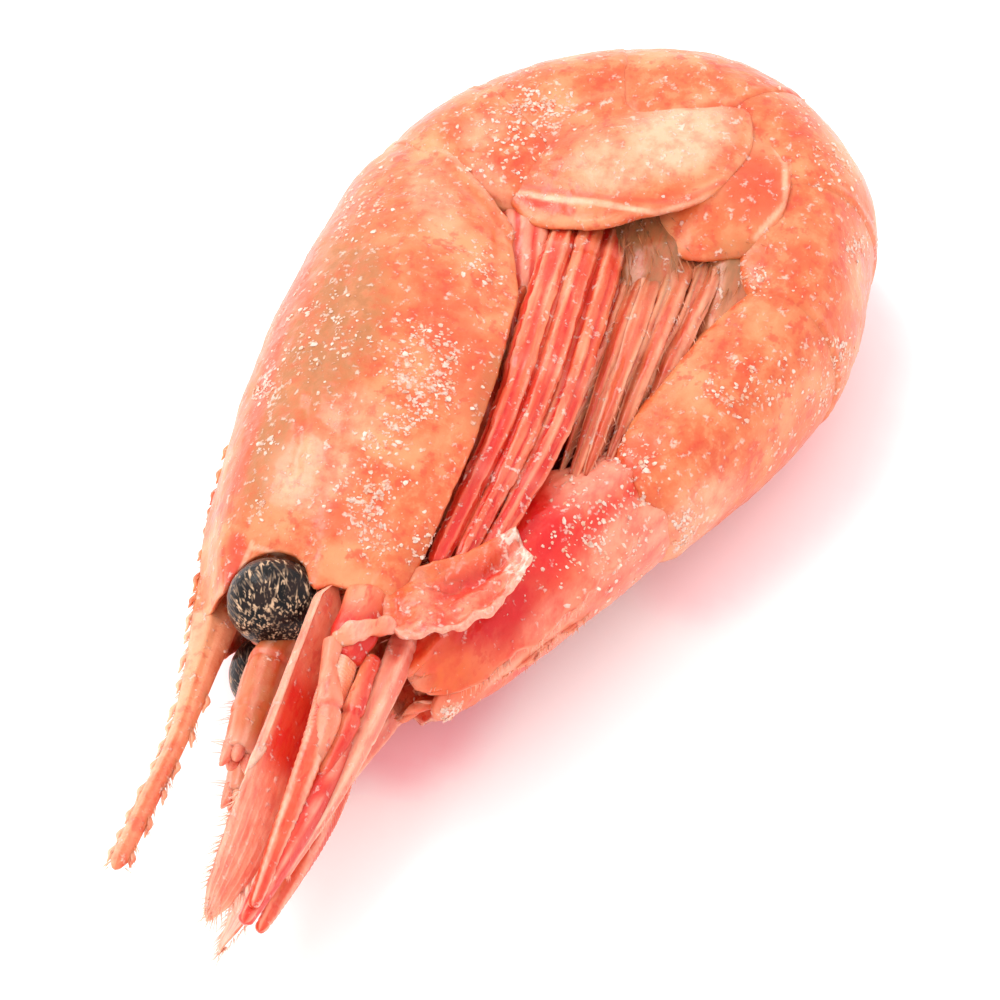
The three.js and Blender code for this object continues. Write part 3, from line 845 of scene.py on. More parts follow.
@dataclass(frozen=True)
class EyeFinish:
    """The dull black of a cooked eye, with fine facets and pale scratches."""

    name: str = "eye_black"
    slot: str = "eye"

    def material(self) -> bpy.types.Material:
        """Builds the finish."""
        made = bpy.data.materials.new(self.name)
        made.use_nodes = True
        hand = Nodes(made.node_tree)
        shader = made.node_tree.nodes["Principled BSDF"]
        shader.inputs["Specular IOR Level"].default_value = 0.15
        shader.inputs["Coat Weight"].default_value = 0.06
        shader.inputs["Coat Roughness"].default_value = 0.1
        place = hand.add("ShaderNodeTexCoord").outputs["Object"]
        scratches = None
        for turned in ((0.0, 0.2, 0.35), (0.3, 0.0, 0.7), (0.0, -0.3, 0.1)):
            mapping = hand.add("ShaderNodeMapping", vector_type="TEXTURE")
            mapping.inputs["Scale"].default_value = (11.0, 1.0, 1.0)
            mapping.inputs["Rotation"].default_value = turned
            hand.link(place, mapping.inputs["Vector"])
            lines = hand.ramp(hand.noise(mapping.outputs[0], 6000.0, 1.0, 0.5), 0.57, 0.72)
            scratches = lines if scratches is None else hand.math("MAXIMUM", scratches, lines)
        patches = hand.ramp(hand.noise(place, 900.0, 2.0), 0.4, 0.62)
        colour = hand.mix(patches, srgb(8, 6, 8), srgb(36, 22, 20))
        bright = hand.ramp(hand.noise(place, 1500.0, 2.0), 0.42, 0.6)
        strength = hand.math("MULTIPLY", scratches, hand.math("ADD", hand.math("MULTIPLY", bright, 0.65), 0.25))
        colour = hand.mix(strength, colour, srgb(214, 176, 142))
        hand.link(colour, shader.inputs["Base Color"])
        hand.link(hand.math("ADD", hand.math("MULTIPLY", scratches, 0.3), 0.28), shader.inputs["Roughness"])
        cells = hand.add("ShaderNodeTexVoronoi", Scale=7000.0)
        hand.link(place, cells.inputs["Vector"])
        height = hand.math("ADD", hand.math("MULTIPLY", cells.outputs["Distance"], -0.02), hand.math("MULTIPLY", scratches, 0.03))
        relief = hand.add("ShaderNodeBump", Strength=0.7, Distance=MM)
        hand.link(height, relief.inputs["Height"])
        hand.link(relief.outputs["Normal"], shader.inputs["Normal"])
        return made


@dataclass(frozen=True)
class IceFinish:
    """White crumbs of frost."""

    name: str = "frost_white"
    slot: str = "frost"

    def material(self) -> bpy.types.Material:
        """Builds the finish."""
        made = bpy.data.materials.new(self.name)
        made.use_nodes = True
        hand = Nodes(made.node_tree)
        shader = made.node_tree.nodes["Principled BSDF"]
        shader.inputs["Subsurface Weight"].default_value = 0.5
        shader.inputs["Subsurface Radius"].default_value = (1.0, 0.8, 0.7)
        shader.inputs["Subsurface Scale"].default_value = 0.5 * MM
        shader.inputs["Coat Weight"].default_value = 0.2
        place = hand.add("ShaderNodeTexCoord").outputs["Object"]
        cloudy = hand.ramp(hand.noise(place, 2400.0, 2.0), 0.35, 0.65)
        hand.link(hand.mix(cloudy, srgb(234, 152, 118), srgb(246, 206, 186)), shader.inputs["Base Color"])
        hand.link(hand.math("ADD", hand.math("MULTIPLY", cloudy, 0.25), 0.25), shader.inputs["Roughness"])
        relief = hand.add("ShaderNodeBump", Strength=0.5, Distance=MM)
        hand.link(hand.math("MULTIPLY", hand.noise(place, 5000.0), 0.03), relief.inputs["Height"])
        hand.link(relief.outputs["Normal"], shader.inputs["Normal"])
        return made


@dataclass(frozen=True)
class FloorFinish:
    """The white surface with the faintest warm tint, turned pink where its glow attribute paints the prawn's shade onto
    it, and giving a faint light of its own.
    """

    name: str = "table_white"
    lift: float = 0.09  # how much light the surface gives of its own, which lightens the prawn's shade on it

    def material(self) -> bpy.types.Material:
        """Builds the finish."""
        made = bpy.data.materials.new(self.name)
        made.use_nodes = True
        hand = Nodes(made.node_tree)
        shader = made.node_tree.nodes["Principled BSDF"]
        shader.inputs["Roughness"].default_value = 0.6
        shader.inputs["Specular IOR Level"].default_value = 0.2
        place = hand.add("ShaderNodeTexCoord").outputs["Object"]
        tone = hand.ramp(hand.noise(place, 12.0, 2.0), 0.3, 0.7)
        white = hand.mix(tone, (1.0, 0.955, 0.965, 1.0), (1.0, 0.965, 0.975, 1.0))
        glow = hand.add("ShaderNodeAttribute", attribute_name="glow").outputs["Fac"]
        # Painted shade: pink where the glow attribute marks the prawn's shade; the table also glows faintly in this
        # colour.
        colour = hand.mix(glow, white, (1.0, 0.58, 0.64, 1.0))
        hand.link(colour, shader.inputs["Base Color"])
        hand.link(colour, shader.inputs["Emission Color"])
        shader.inputs["Emission Strength"].default_value = self.lift
        return made


@dataclass
class Palette:
    """Every material of the prawn, built once."""

    effects: Effects = field(default_factory=Effects)

    def __post_init__(self) -> None:
        """Builds the materials."""
        shell = SkinFinish(
            "shell_coral", "shell", srgb(210, 102, 56), srgb(226, 142, 96), srgb(202, 56, 28)
        )
        limb = SkinFinish(
            "limb_orange", "limb", srgb(216, 94, 56), srgb(232, 142, 104), srgb(200, 30, 16),
            scale=480.0, stretch=0.3, film=0.14, pale=srgb(240, 176, 152),
        )
        swimmeret = SkinFinish(
            "swimmeret_brown", "swimmeret", srgb(206, 98, 60), srgb(226, 142, 104), srgb(184, 44, 24),
            scale=600.0, stretch=0.25, film=0.14, brown=srgb(146, 94, 58), pale=srgb(240, 164, 134),
        )
        fan = SkinFinish(
            "tail_fan_red", "tail_fan", srgb(214, 66, 42), srgb(228, 112, 76), srgb(206, 6, 6),
            scale=420.0, stretch=0.5, film=0.05, pale=srgb(234, 160, 132), brown=srgb(222, 98, 44),
        )
        flap = SkinFinish(
            "mouth_flap_pink", "limb", srgb(212, 84, 56), srgb(230, 132, 100), srgb(192, 22, 16),
            scale=700.0, film=0.25, pale=srgb(240, 168, 146), brown=srgb(216, 104, 56),
        )
        self.shell = shell.material(self.effects)
        self.flap = flap.material(self.effects)
        self.limb = limb.material(self.effects)
        self.swimmeret = swimmeret.material(self.effects)
        self.fan = fan.material(self.effects)
        self.eye = EyeFinish().material()
        self.ice = IceFinish().material()
        self.floor = FloorFinish().material()


# Head


@dataclass
class HeadShell:
    """The carapace, thin at its margins, with its saw-toothed rostrum."""

    front: float = -13.0
    hind_top: tuple[float, float] = (15.9, 6.8)
    hind_slope: float = 0.9
    top_line: Line = ((-13, 8.0), (-9, 9.0), (-4, 9.5), (0, 9.6), (5, 9.35), (10, 8.65), (13.5, 8.0), (15.9, 6.8))
    low_line: Line = ((-13, -0.3), (-10, -1.1), (-5, -1.7), (2, -1.75), (8.3, -1.3))
    half_width: Line = ((-13, 3.9), (-9, 5.2), (-4, 6.0), (2, 6.25), (8, 6.2), (15.9, 5.5))
    waist_share: float = 0.47
    tuck: float = math.radians(122)
    keel: float = 0.45
    corner: float = 0.9  # how far the lower hind corner is rounded off
    stations: int = 186
    flank_steps: int = 100
    orbit: float = 2.3  # radius of the notch round the eye
    notch_reach: float = 6.0  # how far back the front margin's shape is felt
    spines: Line = ((3.0, 0.4, 0.34), (0.5, 0.75, 0.34))  # height, length and half width of the front spines
    rostrum_top: Line = ((-28, 8.85), (-24, 8.5), (-20, 8.15), (-16, 8.4), (-12, 8.95), (-8, 9.35), (-4, 9.7), (0, 9.75))
    rostrum_bottom: Line = ((0, 8.6), (-8, 7.6), (-12, 6.75), (-16, 6.95), (-20, 7.2), (-24, 7.6), (-28, 8.0))
    rostrum_width: float = 0.44
    upper_teeth: tuple[float, float, int] = (-2.5, -27.0, 20)
    lower_teeth: tuple[float, float, int] = (-17.5, -27.2, 6)

    def _profile(self, share: Array) -> tuple[Array, Array, Array]:
        """Half rings from the back round the flank and the lower margin to the middle of the hollow.

        Args:
            share: A column of places between the face and the hind margin.

        Returns:
            Places along, heights and distances out.
        """
        hind_x, hind_y = self.hind_top
        top_x = self.front + share * (hind_x - self.front)
        top = read_line(self.top_line, top_x)
        low_hind = hind_x - self.hind_slope * (hind_y - self.low_line[-1][1])
        low_x = self.front + share * (low_hind - self.front)
        low = read_line(self.low_line, low_x)
        half = read_line(self.half_width, top_x)
        waist = low + (top - low) * self.waist_share
        below = (waist - low) / -math.cos(self.tuck)
        angle = np.linspace(0, self.tuck, self.flank_steps + 1)[None, :]
        swell = self._relief(share, angle)
        reach = np.where(np.cos(angle) > 0, top - waist, below)
        y = waist + (reach + swell) * np.cos(angle)
        out = (half + swell) * np.sin(angle) ** 0.9
        ridge = self.keel * smooth(3.0, -13.0, top_x) * bump(0.0, 0.10, angle)
        y = y + ridge
        rim_y, rim_out = y[:, -1:], out[:, -1:]
        lip = np.linspace(0, math.pi, 6)[None, 1:]
        lip_y = rim_y - 0.16 * np.sin(lip)
        lip_out = rim_out - 0.2 * (1 - np.cos(lip))
        inward = np.linspace(0, 1, 9)[None, 1:]
        wall_y = lip_y[:, -1:] + 1.35 * smooth(0, 0.7, inward)
        wall_out = lip_out[:, -1:] * (1 - inward)
        ys = np.concatenate([y, lip_y, wall_y], axis=1)
        outs = np.concatenate([out, lip_out, wall_out], axis=1)
        turned = np.concatenate([angle, np.full((1, ys.shape[1] - angle.shape[1]), self.tuck)], axis=1)
        ys = ys + self.corner * smooth(0.82, 1.0, share) * smooth(1.2, self.tuck, turned)
        xs = top_x + (top - ys) / (top - low) * (low_x - top_x)
        return xs, ys, outs

    def _relief(self, share: Array, angle: Array) -> Array:
        """Grooves and swellings of the carapace, in millimetres outwards."""
        hind = -0.07 * bump(0.958, 0.012, share) + 0.03 * bump(0.984, 0.012, share) - 0.08 * smooth(0.985, 1.0, share)
        groove_place = 0.30 + 0.10 * np.cos(angle * 1.2)
        groove = -0.10 * bump(0.0, 0.02, share - groove_place) * smooth(0.25, 0.7, angle) * smooth(2.0, 1.5, angle)
        long_groove = -0.09 * bump(1.32, 0.05, angle + 0.25 * share) * smooth(0.1, 0.25, share) * smooth(0.85, 0.6, share)
        margin = -0.09 * bump(2.02, 0.035, angle) + 0.05 * bump(2.09, 0.03, angle)
        gill = 0.12 * bump(0.62, 0.22, share) * bump(1.5, 0.4, angle)
        return hind + groove + long_groove + margin + gill

    def _shell(self) -> bpy.types.Object:
        """The carapace without its rostrum."""
        share = np.linspace(0, 1, self.stations)
        share = np.concatenate([share[:-9], np.linspace(share[-9], 1, 30)])[:, None]
        xs, ys, outs = self._profile(share)
        eye_x, eye_y, eye_out = EYE_PLACE
        beside = np.hypot(ys[0] - eye_y, outs[0] - eye_out)
        notch = eye_x + np.sqrt(np.clip(self.orbit**2 - beside**2, 0, None)) - self.front
        push = np.where(beside < self.orbit, np.maximum(notch, 0.0), 0.0)
        for height, length, width in self.spines:
            push = push - length * bump(height, width, ys[0]) * (outs[0] > 1.5) * (np.arange(len(push)) <= self.flank_steps)
        near = np.clip((xs - self.front) / self.notch_reach, 0, 1)
        xs = xs + push[None, :] * (1 - near) ** 2
        half = animal(xs, ys, outs)
        mirrored = animal(xs, ys, -outs)[:, -2:0:-1]
        rows = np.concatenate([half, mirrored], axis=1)
        front = [self._cap(rows[0], f, dx, self.front) for f, dx in self.FACE]
        hind = [self._cap(rows[-1], f, dx, None) for f, dx in self.TAIL_END]
        return skin("head_shell", np.concatenate([front, rows, hind]))

    FACE = ((0.0, 1.7), (0.4, 1.7), (0.72, 1.6), (0.86, 1.2), (0.91, 0.7), (0.925, 0.25), (0.94, 0.02), (0.965, -0.05), (0.988, -0.04))
    TAIL_END = ((0.988, 0.04), (0.972, 0.03), (0.962, -0.08), (0.957, -0.4), (0.953, -0.9), (0.9, -1.4), (0.5, -1.5), (0.0, -1.5))

    @staticmethod
    def _cap(ring: Array, factor: float, shift: float, level: float | None) -> Array:
        """A copy of an end ring, shrunk about its middle and moved along.

        Args:
            ring: The end ring.
            factor: How much is left of its size.
            shift: How far it is moved along, in millimetres.
            level: Where given, the place along that the small rings even out to.

        Returns:
            The new ring.
        """
        middle = ring.mean(axis=0)
        made = middle + (ring - middle) * np.array([1.0 if factor > 0.9 else factor, factor, factor])
        if level is not None and factor <= 0.9:
            made[:, 0] = level + 0.5 * (made[:, 0] - level)
        if factor == 0.0:
            made[:] = made.mean(axis=0)
        made[:, 0] += shift
        return made

    def _blade(self) -> list[bpy.types.Object]:
        """The rostrum and its teeth."""
        x = np.concatenate([np.linspace(0.4, -27.2, 120), np.linspace(-27.35, -28.0, 6)])
        top, bottom = read_line(self.rostrum_top, x), read_line(self.rostrum_bottom, x)
        ends = np.clip(np.minimum((0.4 - x) / 0.5, (x + 28.0) / 0.7), 0, 1) ** 0.5
        angle = np.linspace(0, 2 * math.pi, 40, endpoint=False)[None, :]
        middle, tall = ((top + bottom) / 2)[:, None], ((top - bottom) / 2 * ends)[:, None]
        width = self.rostrum_width * (ends * read_line(((-28, 0.55), (-20, 0.8), (-10, 1.0), (0, 1.0)), x))[:, None]
        side = np.sin(angle)
        rib = 1 + 0.28 * bump(0.15, 0.16, np.cos(angle)) - 0.12 * bump(-0.25, 0.12, np.cos(angle))
        rows = animal(x[:, None] + 0 * angle, middle + tall * np.cos(angle), width * np.sign(side) * np.abs(side) ** 1.1 * rib)
        pieces = [skin("rostrum_blade", rows)]
        pieces += self._teeth(self.upper_teeth, self.rostrum_top, 1.0, 0.14)
        pieces += self._teeth(self.lower_teeth, self.rostrum_bottom, -1.0, 0.18)
        draw = np.random.default_rng(5)
        for line, side, places in (
            (self.rostrum_top, 1.0, draw.uniform(-27.8, -9.0, 150)),
            (self.rostrum_bottom, -1.0, np.concatenate([draw.normal(m, 0.35, 16) for m in (-19.2, -22.3, -24.9, -27.0)])),
        ):
            places = np.clip(places, -27.9, 0.0)
            roots = animal(places, read_line(line, places) - 0.06 * side, draw.uniform(-0.12, 0.12, len(places)))
            ways = np.stack([draw.uniform(-1.4, -0.7, len(places)), side * draw.uniform(0.2, 0.7, len(places)), draw.normal(0, 0.2, len(places))], axis=1)
            lengths = draw.uniform(0.3, 0.62, len(places)) * (1.0 if side > 0 else 1.6)
            pieces.append(fringe("rostrum_bristles", roots, ways, lengths, 0.035))
        return pieces

    def _teeth(self, run: tuple[float, float, int], line: Line, side: float, height: float) -> list[bpy.types.Object]:
        """Forward-leaning teeth along one edge of the rostrum."""
        start, end, count = run
        made = []
        for i, x in enumerate(np.linspace(start, end, count)):
            x = x + 0.22 * math.sin(5.1 * i)
            edge = float(read_line(line, x))
            tall = height * (0.7 + 0.45 * math.sin(2.7 * i + side)) * (0.8 if x < -25 else 1.0)
            lean = 1.0 + 0.25 * math.sin(3.3 * i)
            points = (
                (x + 0.35, edge - 0.25 * side, 0.0),
                (x - 0.1, edge + 0.1 * side, 0.0),
                (x - 0.45 * lean, edge + 0.6 * tall * side, 0.0),
                (x - 0.8 * lean, edge + tall * side, 0.0),
            )
            tooth = Limb(points, (0.2, 0.14, 0.08, 0.03), flat=0.62, tip=0.1)
            rows, _, _ = tooth.rows(8, 12)
            made.append(skin(f"tooth_{i}", rows))
        return made

    MARKS = (
        Mark(Paint.BROWN, (111, 572), (17, 30), 0.9, 20),
        Mark(Paint.BROWN, (98, 599), (8, 22), 0.9, 12),
        Mark(Paint.BROWN, (125, 553), (12, 12), 0.4),
        # Painted shade: brown along the carapace's lower margin, where the legs run in under it.
        Mark(Paint.BROWN, (147, 588), (4, 12), 0.7, 20),
        Mark(Paint.BROWN, (134, 624), (9, 6), 0.3, -20),
        Mark(Paint.PALE, (108, 606), (12, 10), 0.4, -30),
        Mark(Paint.PALE, (118, 594), (8, 8), 0.3, -30),
        Mark(Paint.PALE, (135, 545), (6, 11), 0.3, -30),
        Mark(Paint.DEEP, (140, 578), (8, 24), 0.3, -22),
        Mark(Paint.DEEP, (118, 618), (12, 5), 0.4, 10),
        Mark(Paint.DEEP, (104, 560), (3, 16), 0.45, -15),
        Mark(Paint.DEEP, (91, 631), (3, 9), 0.8, 5),
        Stroke(Paint.DEEP, ((107, 556), (102, 568), (97, 588), (91, 610)), 2.4, 0.5),
        # Painted shade: the dark slit between the carapace's lower front corner and the antenna's base.
        Stroke(Paint.DEEP, ((127, 639), (123, 637), (120, 636)), 2.2, 1.0),
        Stroke(Paint.PALE, ((95, 622), (92.5, 628), (90, 636)), 0.8, 0.7),
        Stroke(Paint.PALE, ((95, 623), (98, 623.5), (102, 625)), 0.8, 0.7),
        Mark(Paint.DEEP, (91.5, 623), (2.5, 4), 0.8),
        Mark(Paint.FROST, (133, 583), (9, 11), 0.25, -20),
        Mark(Paint.FROST, (124, 597), (6, 5), 0.25, -35),
        Mark(Paint.FROST, (119, 616), (9, 7), 0.2),
        Mark(Paint.FROST, (99, 587), (3, 8), 0.3, -10),
    )

    def build(self, palette: Palette) -> bpy.types.Object:
        """Builds and dresses the head shell."""
        shell = self._shell()
        roughen(shell, 3.2, 0.2)
        roughen(shell, 0.8, 0.07)
        roughen(shell, 0.3, 0.04)
        piece = join("head_shell", [shell, *self._blade()])
        own = Table.own(vertices_of(piece))
        x, y, _ = own.T
        hind = (x - self.hind_top[0]) + self.hind_slope * (self.hind_top[1] - y)
        on_shell = x > self.front + 1
        rim = bump(-0.15, 0.35, hind) * on_shell
        line = bump(-1.25, 0.28, hind) * on_shell
        top, bottom = read_line(self.rostrum_top, x), read_line(self.rostrum_bottom, x)
        blade = (x < -12.6) & (y > bottom - 1.5)
        tooth = smooth(-0.02, 0.12, y - top) + smooth(-0.02, 0.12, bottom - y)
        level = (y - bottom) / np.maximum(top - bottom, 0.1)
        extra = {
            Paint.PALE: 0.4 * rim + 0.2 * line + np.where(blade, 0.25 + 0.3 * tooth + 0.45 * smooth(0.55, 0.95, level), 0.0),
            Paint.DEEP: np.where(blade, 0.35 * bump(0.2, 0.16, level), 0.0),
        }
        paint_marks(piece, self.MARKS, extra)
        dress(piece, palette.shell, ["carapace"])
        return piece


# Tail


@dataclass
class Lobe:
    """The large rounded side plate of one tail segment, as a dished oval with a raised rim."""

    x: float
    y: float
    long: float
    short: float
    turn: float
    out: float
    dome: float = 0.5
    depth: float = 0.6
    sink: float = 0.8  # how far the upper and front edges sink into the ring

    def rows(self, sign: float) -> Array:
        """The plate's rings, from the middle of its outer face over its rim to the middle of its inner face."""
        outer = np.concatenate([np.linspace(0, 0.8, 18), np.linspace(0.82, 1.0, 16)])
        inner = np.array([0.99, 0.95, 0.8, 0.5, 0.0])
        under = -self.depth * np.array([0.45, 0.8, 1, 1, 1])
        r = np.concatenate([outer, inner])[:, None]
        angle = np.linspace(0, 2 * math.pi, 120, endpoint=False)[None, :]
        free = smooth(-0.5, 0.4, np.cos(angle) - 0.8 * np.sin(angle))
        rim = (0.09 * bump(0.935, 0.04, outer) - 0.07 * bump(0.85, 0.05, outer))[:, None] * free
        height = np.concatenate([self.dome * (1 - outer[:, None] ** 2.4) + rim, under[:, None] + 0 * angle])
        buried = self.sink * (smooth(0.1, 1.0, r * np.sin(angle)) + smooth(0.1, 1.0, -r * np.cos(angle)))
        out = self.out + height - buried
        wave = 1 + 0.02 * np.sin(5 * angle + 1) + 0.012 * np.sin(9 * angle)
        along, beside = self.long * r * np.cos(angle) * wave, self.short * r * np.sin(angle) * wave
        turn = math.radians(self.turn)
        x = self.x + along * math.cos(turn) - beside * math.sin(turn)
        y = self.y + along * math.sin(turn) + beside * math.cos(turn)
        return animal(x, y, sign * out)

    def shares(self, own: Array) -> tuple[Array, Array]:
        """Where points lie along and across the plate, where its edge is 1."""
        turn = math.radians(self.turn)
        dx, dy = own[..., 0] - self.x, own[..., 1] - self.y
        along = (dx * math.cos(turn) + dy * math.sin(turn)) / self.long
        beside = (dy * math.cos(turn) - dx * math.sin(turn)) / self.short
        return along, beside

    def radius(self, own: Array) -> Array:
        """How far out from the plate's middle each point lies, where the plate's edge is 1."""
        return np.hypot(*self.shares(own))

    def blend(self, piece: bpy.types.Object) -> None:
        """Evens out the step where the plate's upper and front edges rise from the ring."""
        own = Table.own(vertices_of(piece))
        along, beside = self.shares(own)
        radius = np.hypot(along, beside)
        close = (radius > 0.45) & (radius < 1.3) & ((beside > 0.2) | (along < -0.55)) & (np.abs(own[:, 2]) > 3.5)
        group = piece.vertex_groups.new(name="plate_step")
        group.add([int(i) for i in np.flatnonzero(close)], 1.0, "REPLACE")
        pick(piece)
        even = piece.modifiers.new("even", "SMOOTH")
        even.vertex_group = group.name
        even.factor = 0.9
        even.iterations = 40
        bpy.ops.object.modifier_apply(modifier=even.name)
        piece.vertex_groups.clear()
        settle(piece)


@dataclass
class TailShell:
    """The six shell rings of the tail, each tucked under the one before it."""

    start: tuple[float, float] = (15.9, 6.8)
    heading: float = -28.0
    arcs: Line = ((4.0, -14), (8.3, -33.5), (9.4, -52.5), (7.6, -37), (7.9, -26), (12.0, -17.5), (15.8, -4))
    first_slant: float = math.radians(-42)
    half_width: Sequence[float] = (5.4, 5.6, 5.8, 5.65, 5.1, 4.3, 2.9)
    waist: Sequence[float] = (4.1, 4.3, 4.3, 3.9, 3.3, 2.8, 2.3)
    flank: Sequence[float] = (9.2, 9.5, 9.2, 8.0, 6.3, 5.4, 4.6)
    belly: Sequence[float] = (7.4, 7.6, 7.3, 6.4, 5.1, 4.4, 3.6)
    plate_shape: Line = ((0, 1), (0.55, 0.985), (0.88, 0.93), (1, 0.86))
    lobes: dict[int, Lobe] = field(
        default_factory=lambda: {
            2: Lobe(14.1, -4.55, 6.0, 4.1, -56, 5.66),
            3: Lobe(14.1, -8.7, 4.7, 3.5, 8, 5.12, dome=0.5),
        }
    )
    under: float = 0.9  # length tucked under the ring before, in millimetres
    step: float = 0.1
    bulge: float = 0.8  # how far the bend stands out beyond the back line
    inset: float = 0.9  # how far the last ring and the fan lie in from the back line

    def back_at(self, s: Array) -> tuple[Array, Array, Array]:
        """The point and the heading of the back line at s segments from the carapace."""
        s = np.asarray(s, float)
        x = np.full(s.shape, self.start[0])
        y = np.full(s.shape, self.start[1])
        heading = np.full(s.shape, math.radians(self.heading))
        ahead = np.minimum(s, 0) * self.arcs[0][0]
        x = x + ahead * np.cos(heading)
        y = y + ahead * np.sin(heading)
        for k, (length, turn) in enumerate(self.arcs):
            share = np.clip(s - k, 0, 1)
            radius = length / math.radians(turn)
            following = heading + math.radians(turn) * share
            x = x + radius * (np.sin(following) - np.sin(heading))
            y = y - radius * (np.cos(following) - np.cos(heading))
            heading = following
        return x, y, heading

    def inside(self, s: Array, depth: Array, out: Array) -> Array:
        """Points of the tail: s segments along, a depth below the back and a distance out."""
        x, y, heading = self.back_at(s)
        slant = np.minimum(heading, self.first_slant)
        depth = depth + self.inset * smooth(4.8, 6.0, s)
        return animal(x + depth * np.sin(slant), y - depth * np.cos(slant), out)

    def _half_ring(self, s: Array, share: Array) -> tuple[Array, Array]:
        """Depths and distances out, from the back round the side plate to the middle of the belly."""
        inside_share = np.clip(share, 0, 1)
        edge = np.abs(2 * inside_share - 1) ** 3
        lift = self.step * (1 - inside_share) ** 2 + 0.12 * smooth(0, -0.1, share)
        raised = lift - self.bulge * smooth(1.8, 2.7, s) * smooth(4.4, 3.5, s)
        rim = 0.02 * bump(0.955, 0.02, share) - 0.02 * bump(0.9, 0.022, share) - 0.09 * smooth(0.965, 1.0, share)
        half = read_sizes(self.half_width, s) - 0.8 * lift
        waist = read_sizes(self.waist, s)
        flank = read_sizes(self.flank, s) * (1 - 0.16 * edge)
        belly = read_sizes(self.belly, s) * (1 - 0.08 * edge)
        arch = np.linspace(0, math.pi / 2, 41)[None, :]
        depth = raised + (waist - raised) * (1 - np.cos(arch)) - rim * np.cos(arch)
        out = half * np.sin(arch) + rim * np.sin(arch)
        down = np.linspace(0, 1, 23)[None, 1:]
        plate_depth = waist + down * (flank - waist)
        plate_out = half * read_line(self.plate_shape, down) + rim
        round_lip = np.linspace(0, math.pi, 6)[None, 1:]
        lip_depth = flank + 0.14 * np.sin(round_lip)
        lip_out = plate_out[:, -1:] - 0.2 * (1 - np.cos(round_lip))
        inner = np.linspace(0, 1, 13)[None, 1:]
        wall_depth = lip_depth[:, -1:] + (belly - 0.25 - lip_depth[:, -1:]) * smooth(0, 0.35, inner)
        wall_depth = wall_depth - 0.12 * np.cos(inner * math.pi * 3) * smooth(0.3, 0.5, inner)
        wall_out = lip_out[:, -1:] * (1 - inner)
        depths = np.concatenate([depth, plate_depth, lip_depth, wall_depth], axis=1)
        outs = np.concatenate([out, plate_out, lip_out, wall_out], axis=1)
        return depths, outs

    def _ring_body(self, k: int) -> bpy.types.Object:
        """The closed body of one segment."""
        length = self.arcs[k - 1][0]
        tucked = self.under / length
        share = np.concatenate([np.linspace(-tucked, 0, 5)[:-1], np.linspace(0, 0.86, 30), np.linspace(0.87, 1, 16)])[:, None]
        s = k - 1 + share
        depths, outs = self._half_ring(s, share)
        half = self.inside(s, depths, outs)
        mirrored = self.inside(s, depths, -outs)[:, -2:0:-1]
        rows = np.concatenate([half, mirrored], axis=1)
        first, last = rows[0], rows[-1]
        ahead = rows[-1].mean(axis=0) - rows[-3].mean(axis=0)
        ahead /= np.linalg.norm(ahead)
        front = [self._cap(first, f, 0.0, ahead) for f in (0.0, 0.5, 0.93)]
        hollow = ((0.975, 0.02), (0.955, -0.1), (0.945, -0.7), (0.5, -0.8), (0.0, -0.8))
        closed = ((0.97, 0.12), (0.92, 0.35), (0.82, 0.6), (0.65, 0.8), (0.4, 0.95), (0.0, 1.0))
        hind = [self._cap(last, f, d, ahead) for f, d in (closed if k == 6 else hollow)]
        return skin(f"ring_{k}", np.concatenate([front, rows, hind]))

    @staticmethod
    def _cap(ring: Array, factor: float, shift: float, ahead: Array) -> Array:
        """A copy of an end ring, shrunk about its middle and moved along the tail."""
        middle = ring.mean(axis=0)
        return middle + (ring - middle) * factor + shift * ahead

    MARKS = {
        1: (
            Mark(Paint.FROST, (160, 521), (12, 8), 0.2),
            Mark(Paint.PALE, (148, 540), (4, 10), 0.3, -30),
            Mark(Paint.PALE, (172, 528), (12, 6), 0.6, -30),
            Mark(Paint.DEEP, (163, 530), (7, 3), 0.5, -20),
            Mark(Paint.PALE, (146, 528), (7, 5), 0.35, -30),
            Mark(Paint.BROWN, (158, 556), (6, 14), 0.4),
        ),
        2: (
            Mark(Paint.PALE, (190, 530), (14, 10), 1.0, -15),
            Mark(Paint.PALE, (194, 528), (12, 9), 0.7, -15),
            Mark(Paint.PALE, (176, 536), (11, 8), 0.6),
            Mark(Paint.FROST, (190, 528), (13, 9), 0.1),
            Mark(Paint.BROWN, (176, 536), (14, 6), 0.25, -10),
            Mark(Paint.DEEP, (163, 529), (9, 4), 0.4, -15),
            Mark(Paint.FROST, (168, 524), (12, 6), 0.15),
            # Along the side plate's lower edge: a pale line on its rim, and deep red lines below it as a painted shadow
            # line.
            Stroke(Paint.DEEP, ((151, 539), (157, 544.5), (166, 547)), 1.8, 0.9),
            Stroke(Paint.PALE, ((152, 542), (162, 544), (172, 545), (186, 547.5), (200, 543)), 1.0, 0.9),
            Stroke(Paint.DEEP, ((156, 541), (165, 542.5), (176, 544), (190, 545), (201, 540)), 1.0, 0.6),
        ),
        3: (
            Mark(Paint.DEEP, (208, 541), (9, 11), 0.55, -30),
            Stroke(Paint.PALE, ((210, 526), (215, 536), (215, 545), (208, 553)), 1.0, 0.7),
            Mark(Paint.BROWN, (204, 556), (8, 5), 0.5),
        ),
        4: (
            Mark(Paint.DEEP, (210, 562), (9, 9), 0.55),
            Mark(Paint.FROST, (231, 556), (8, 12), 0.2),
            Mark(Paint.FROST, (208, 563), (6, 6), 0.15),
        ),
        5: (
            Mark(Paint.DEEP, (197, 582), (7, 13), 0.6, 35),
            Mark(Paint.FROST, (208, 590), (14, 10), 0.15, 30),
            Mark(Paint.PALE, (216, 592), (8, 10), 0.25, 30),
        ),
        6: (
            Mark(Paint.DEEP, (180, 603), (10, 5), 0.5, -38),
            Mark(Paint.PALE, (196, 616), (14, 8), 0.5, -42),
            Mark(Paint.FROST, (194, 615), (8, 6), 0.2, -42),
        ),
    }

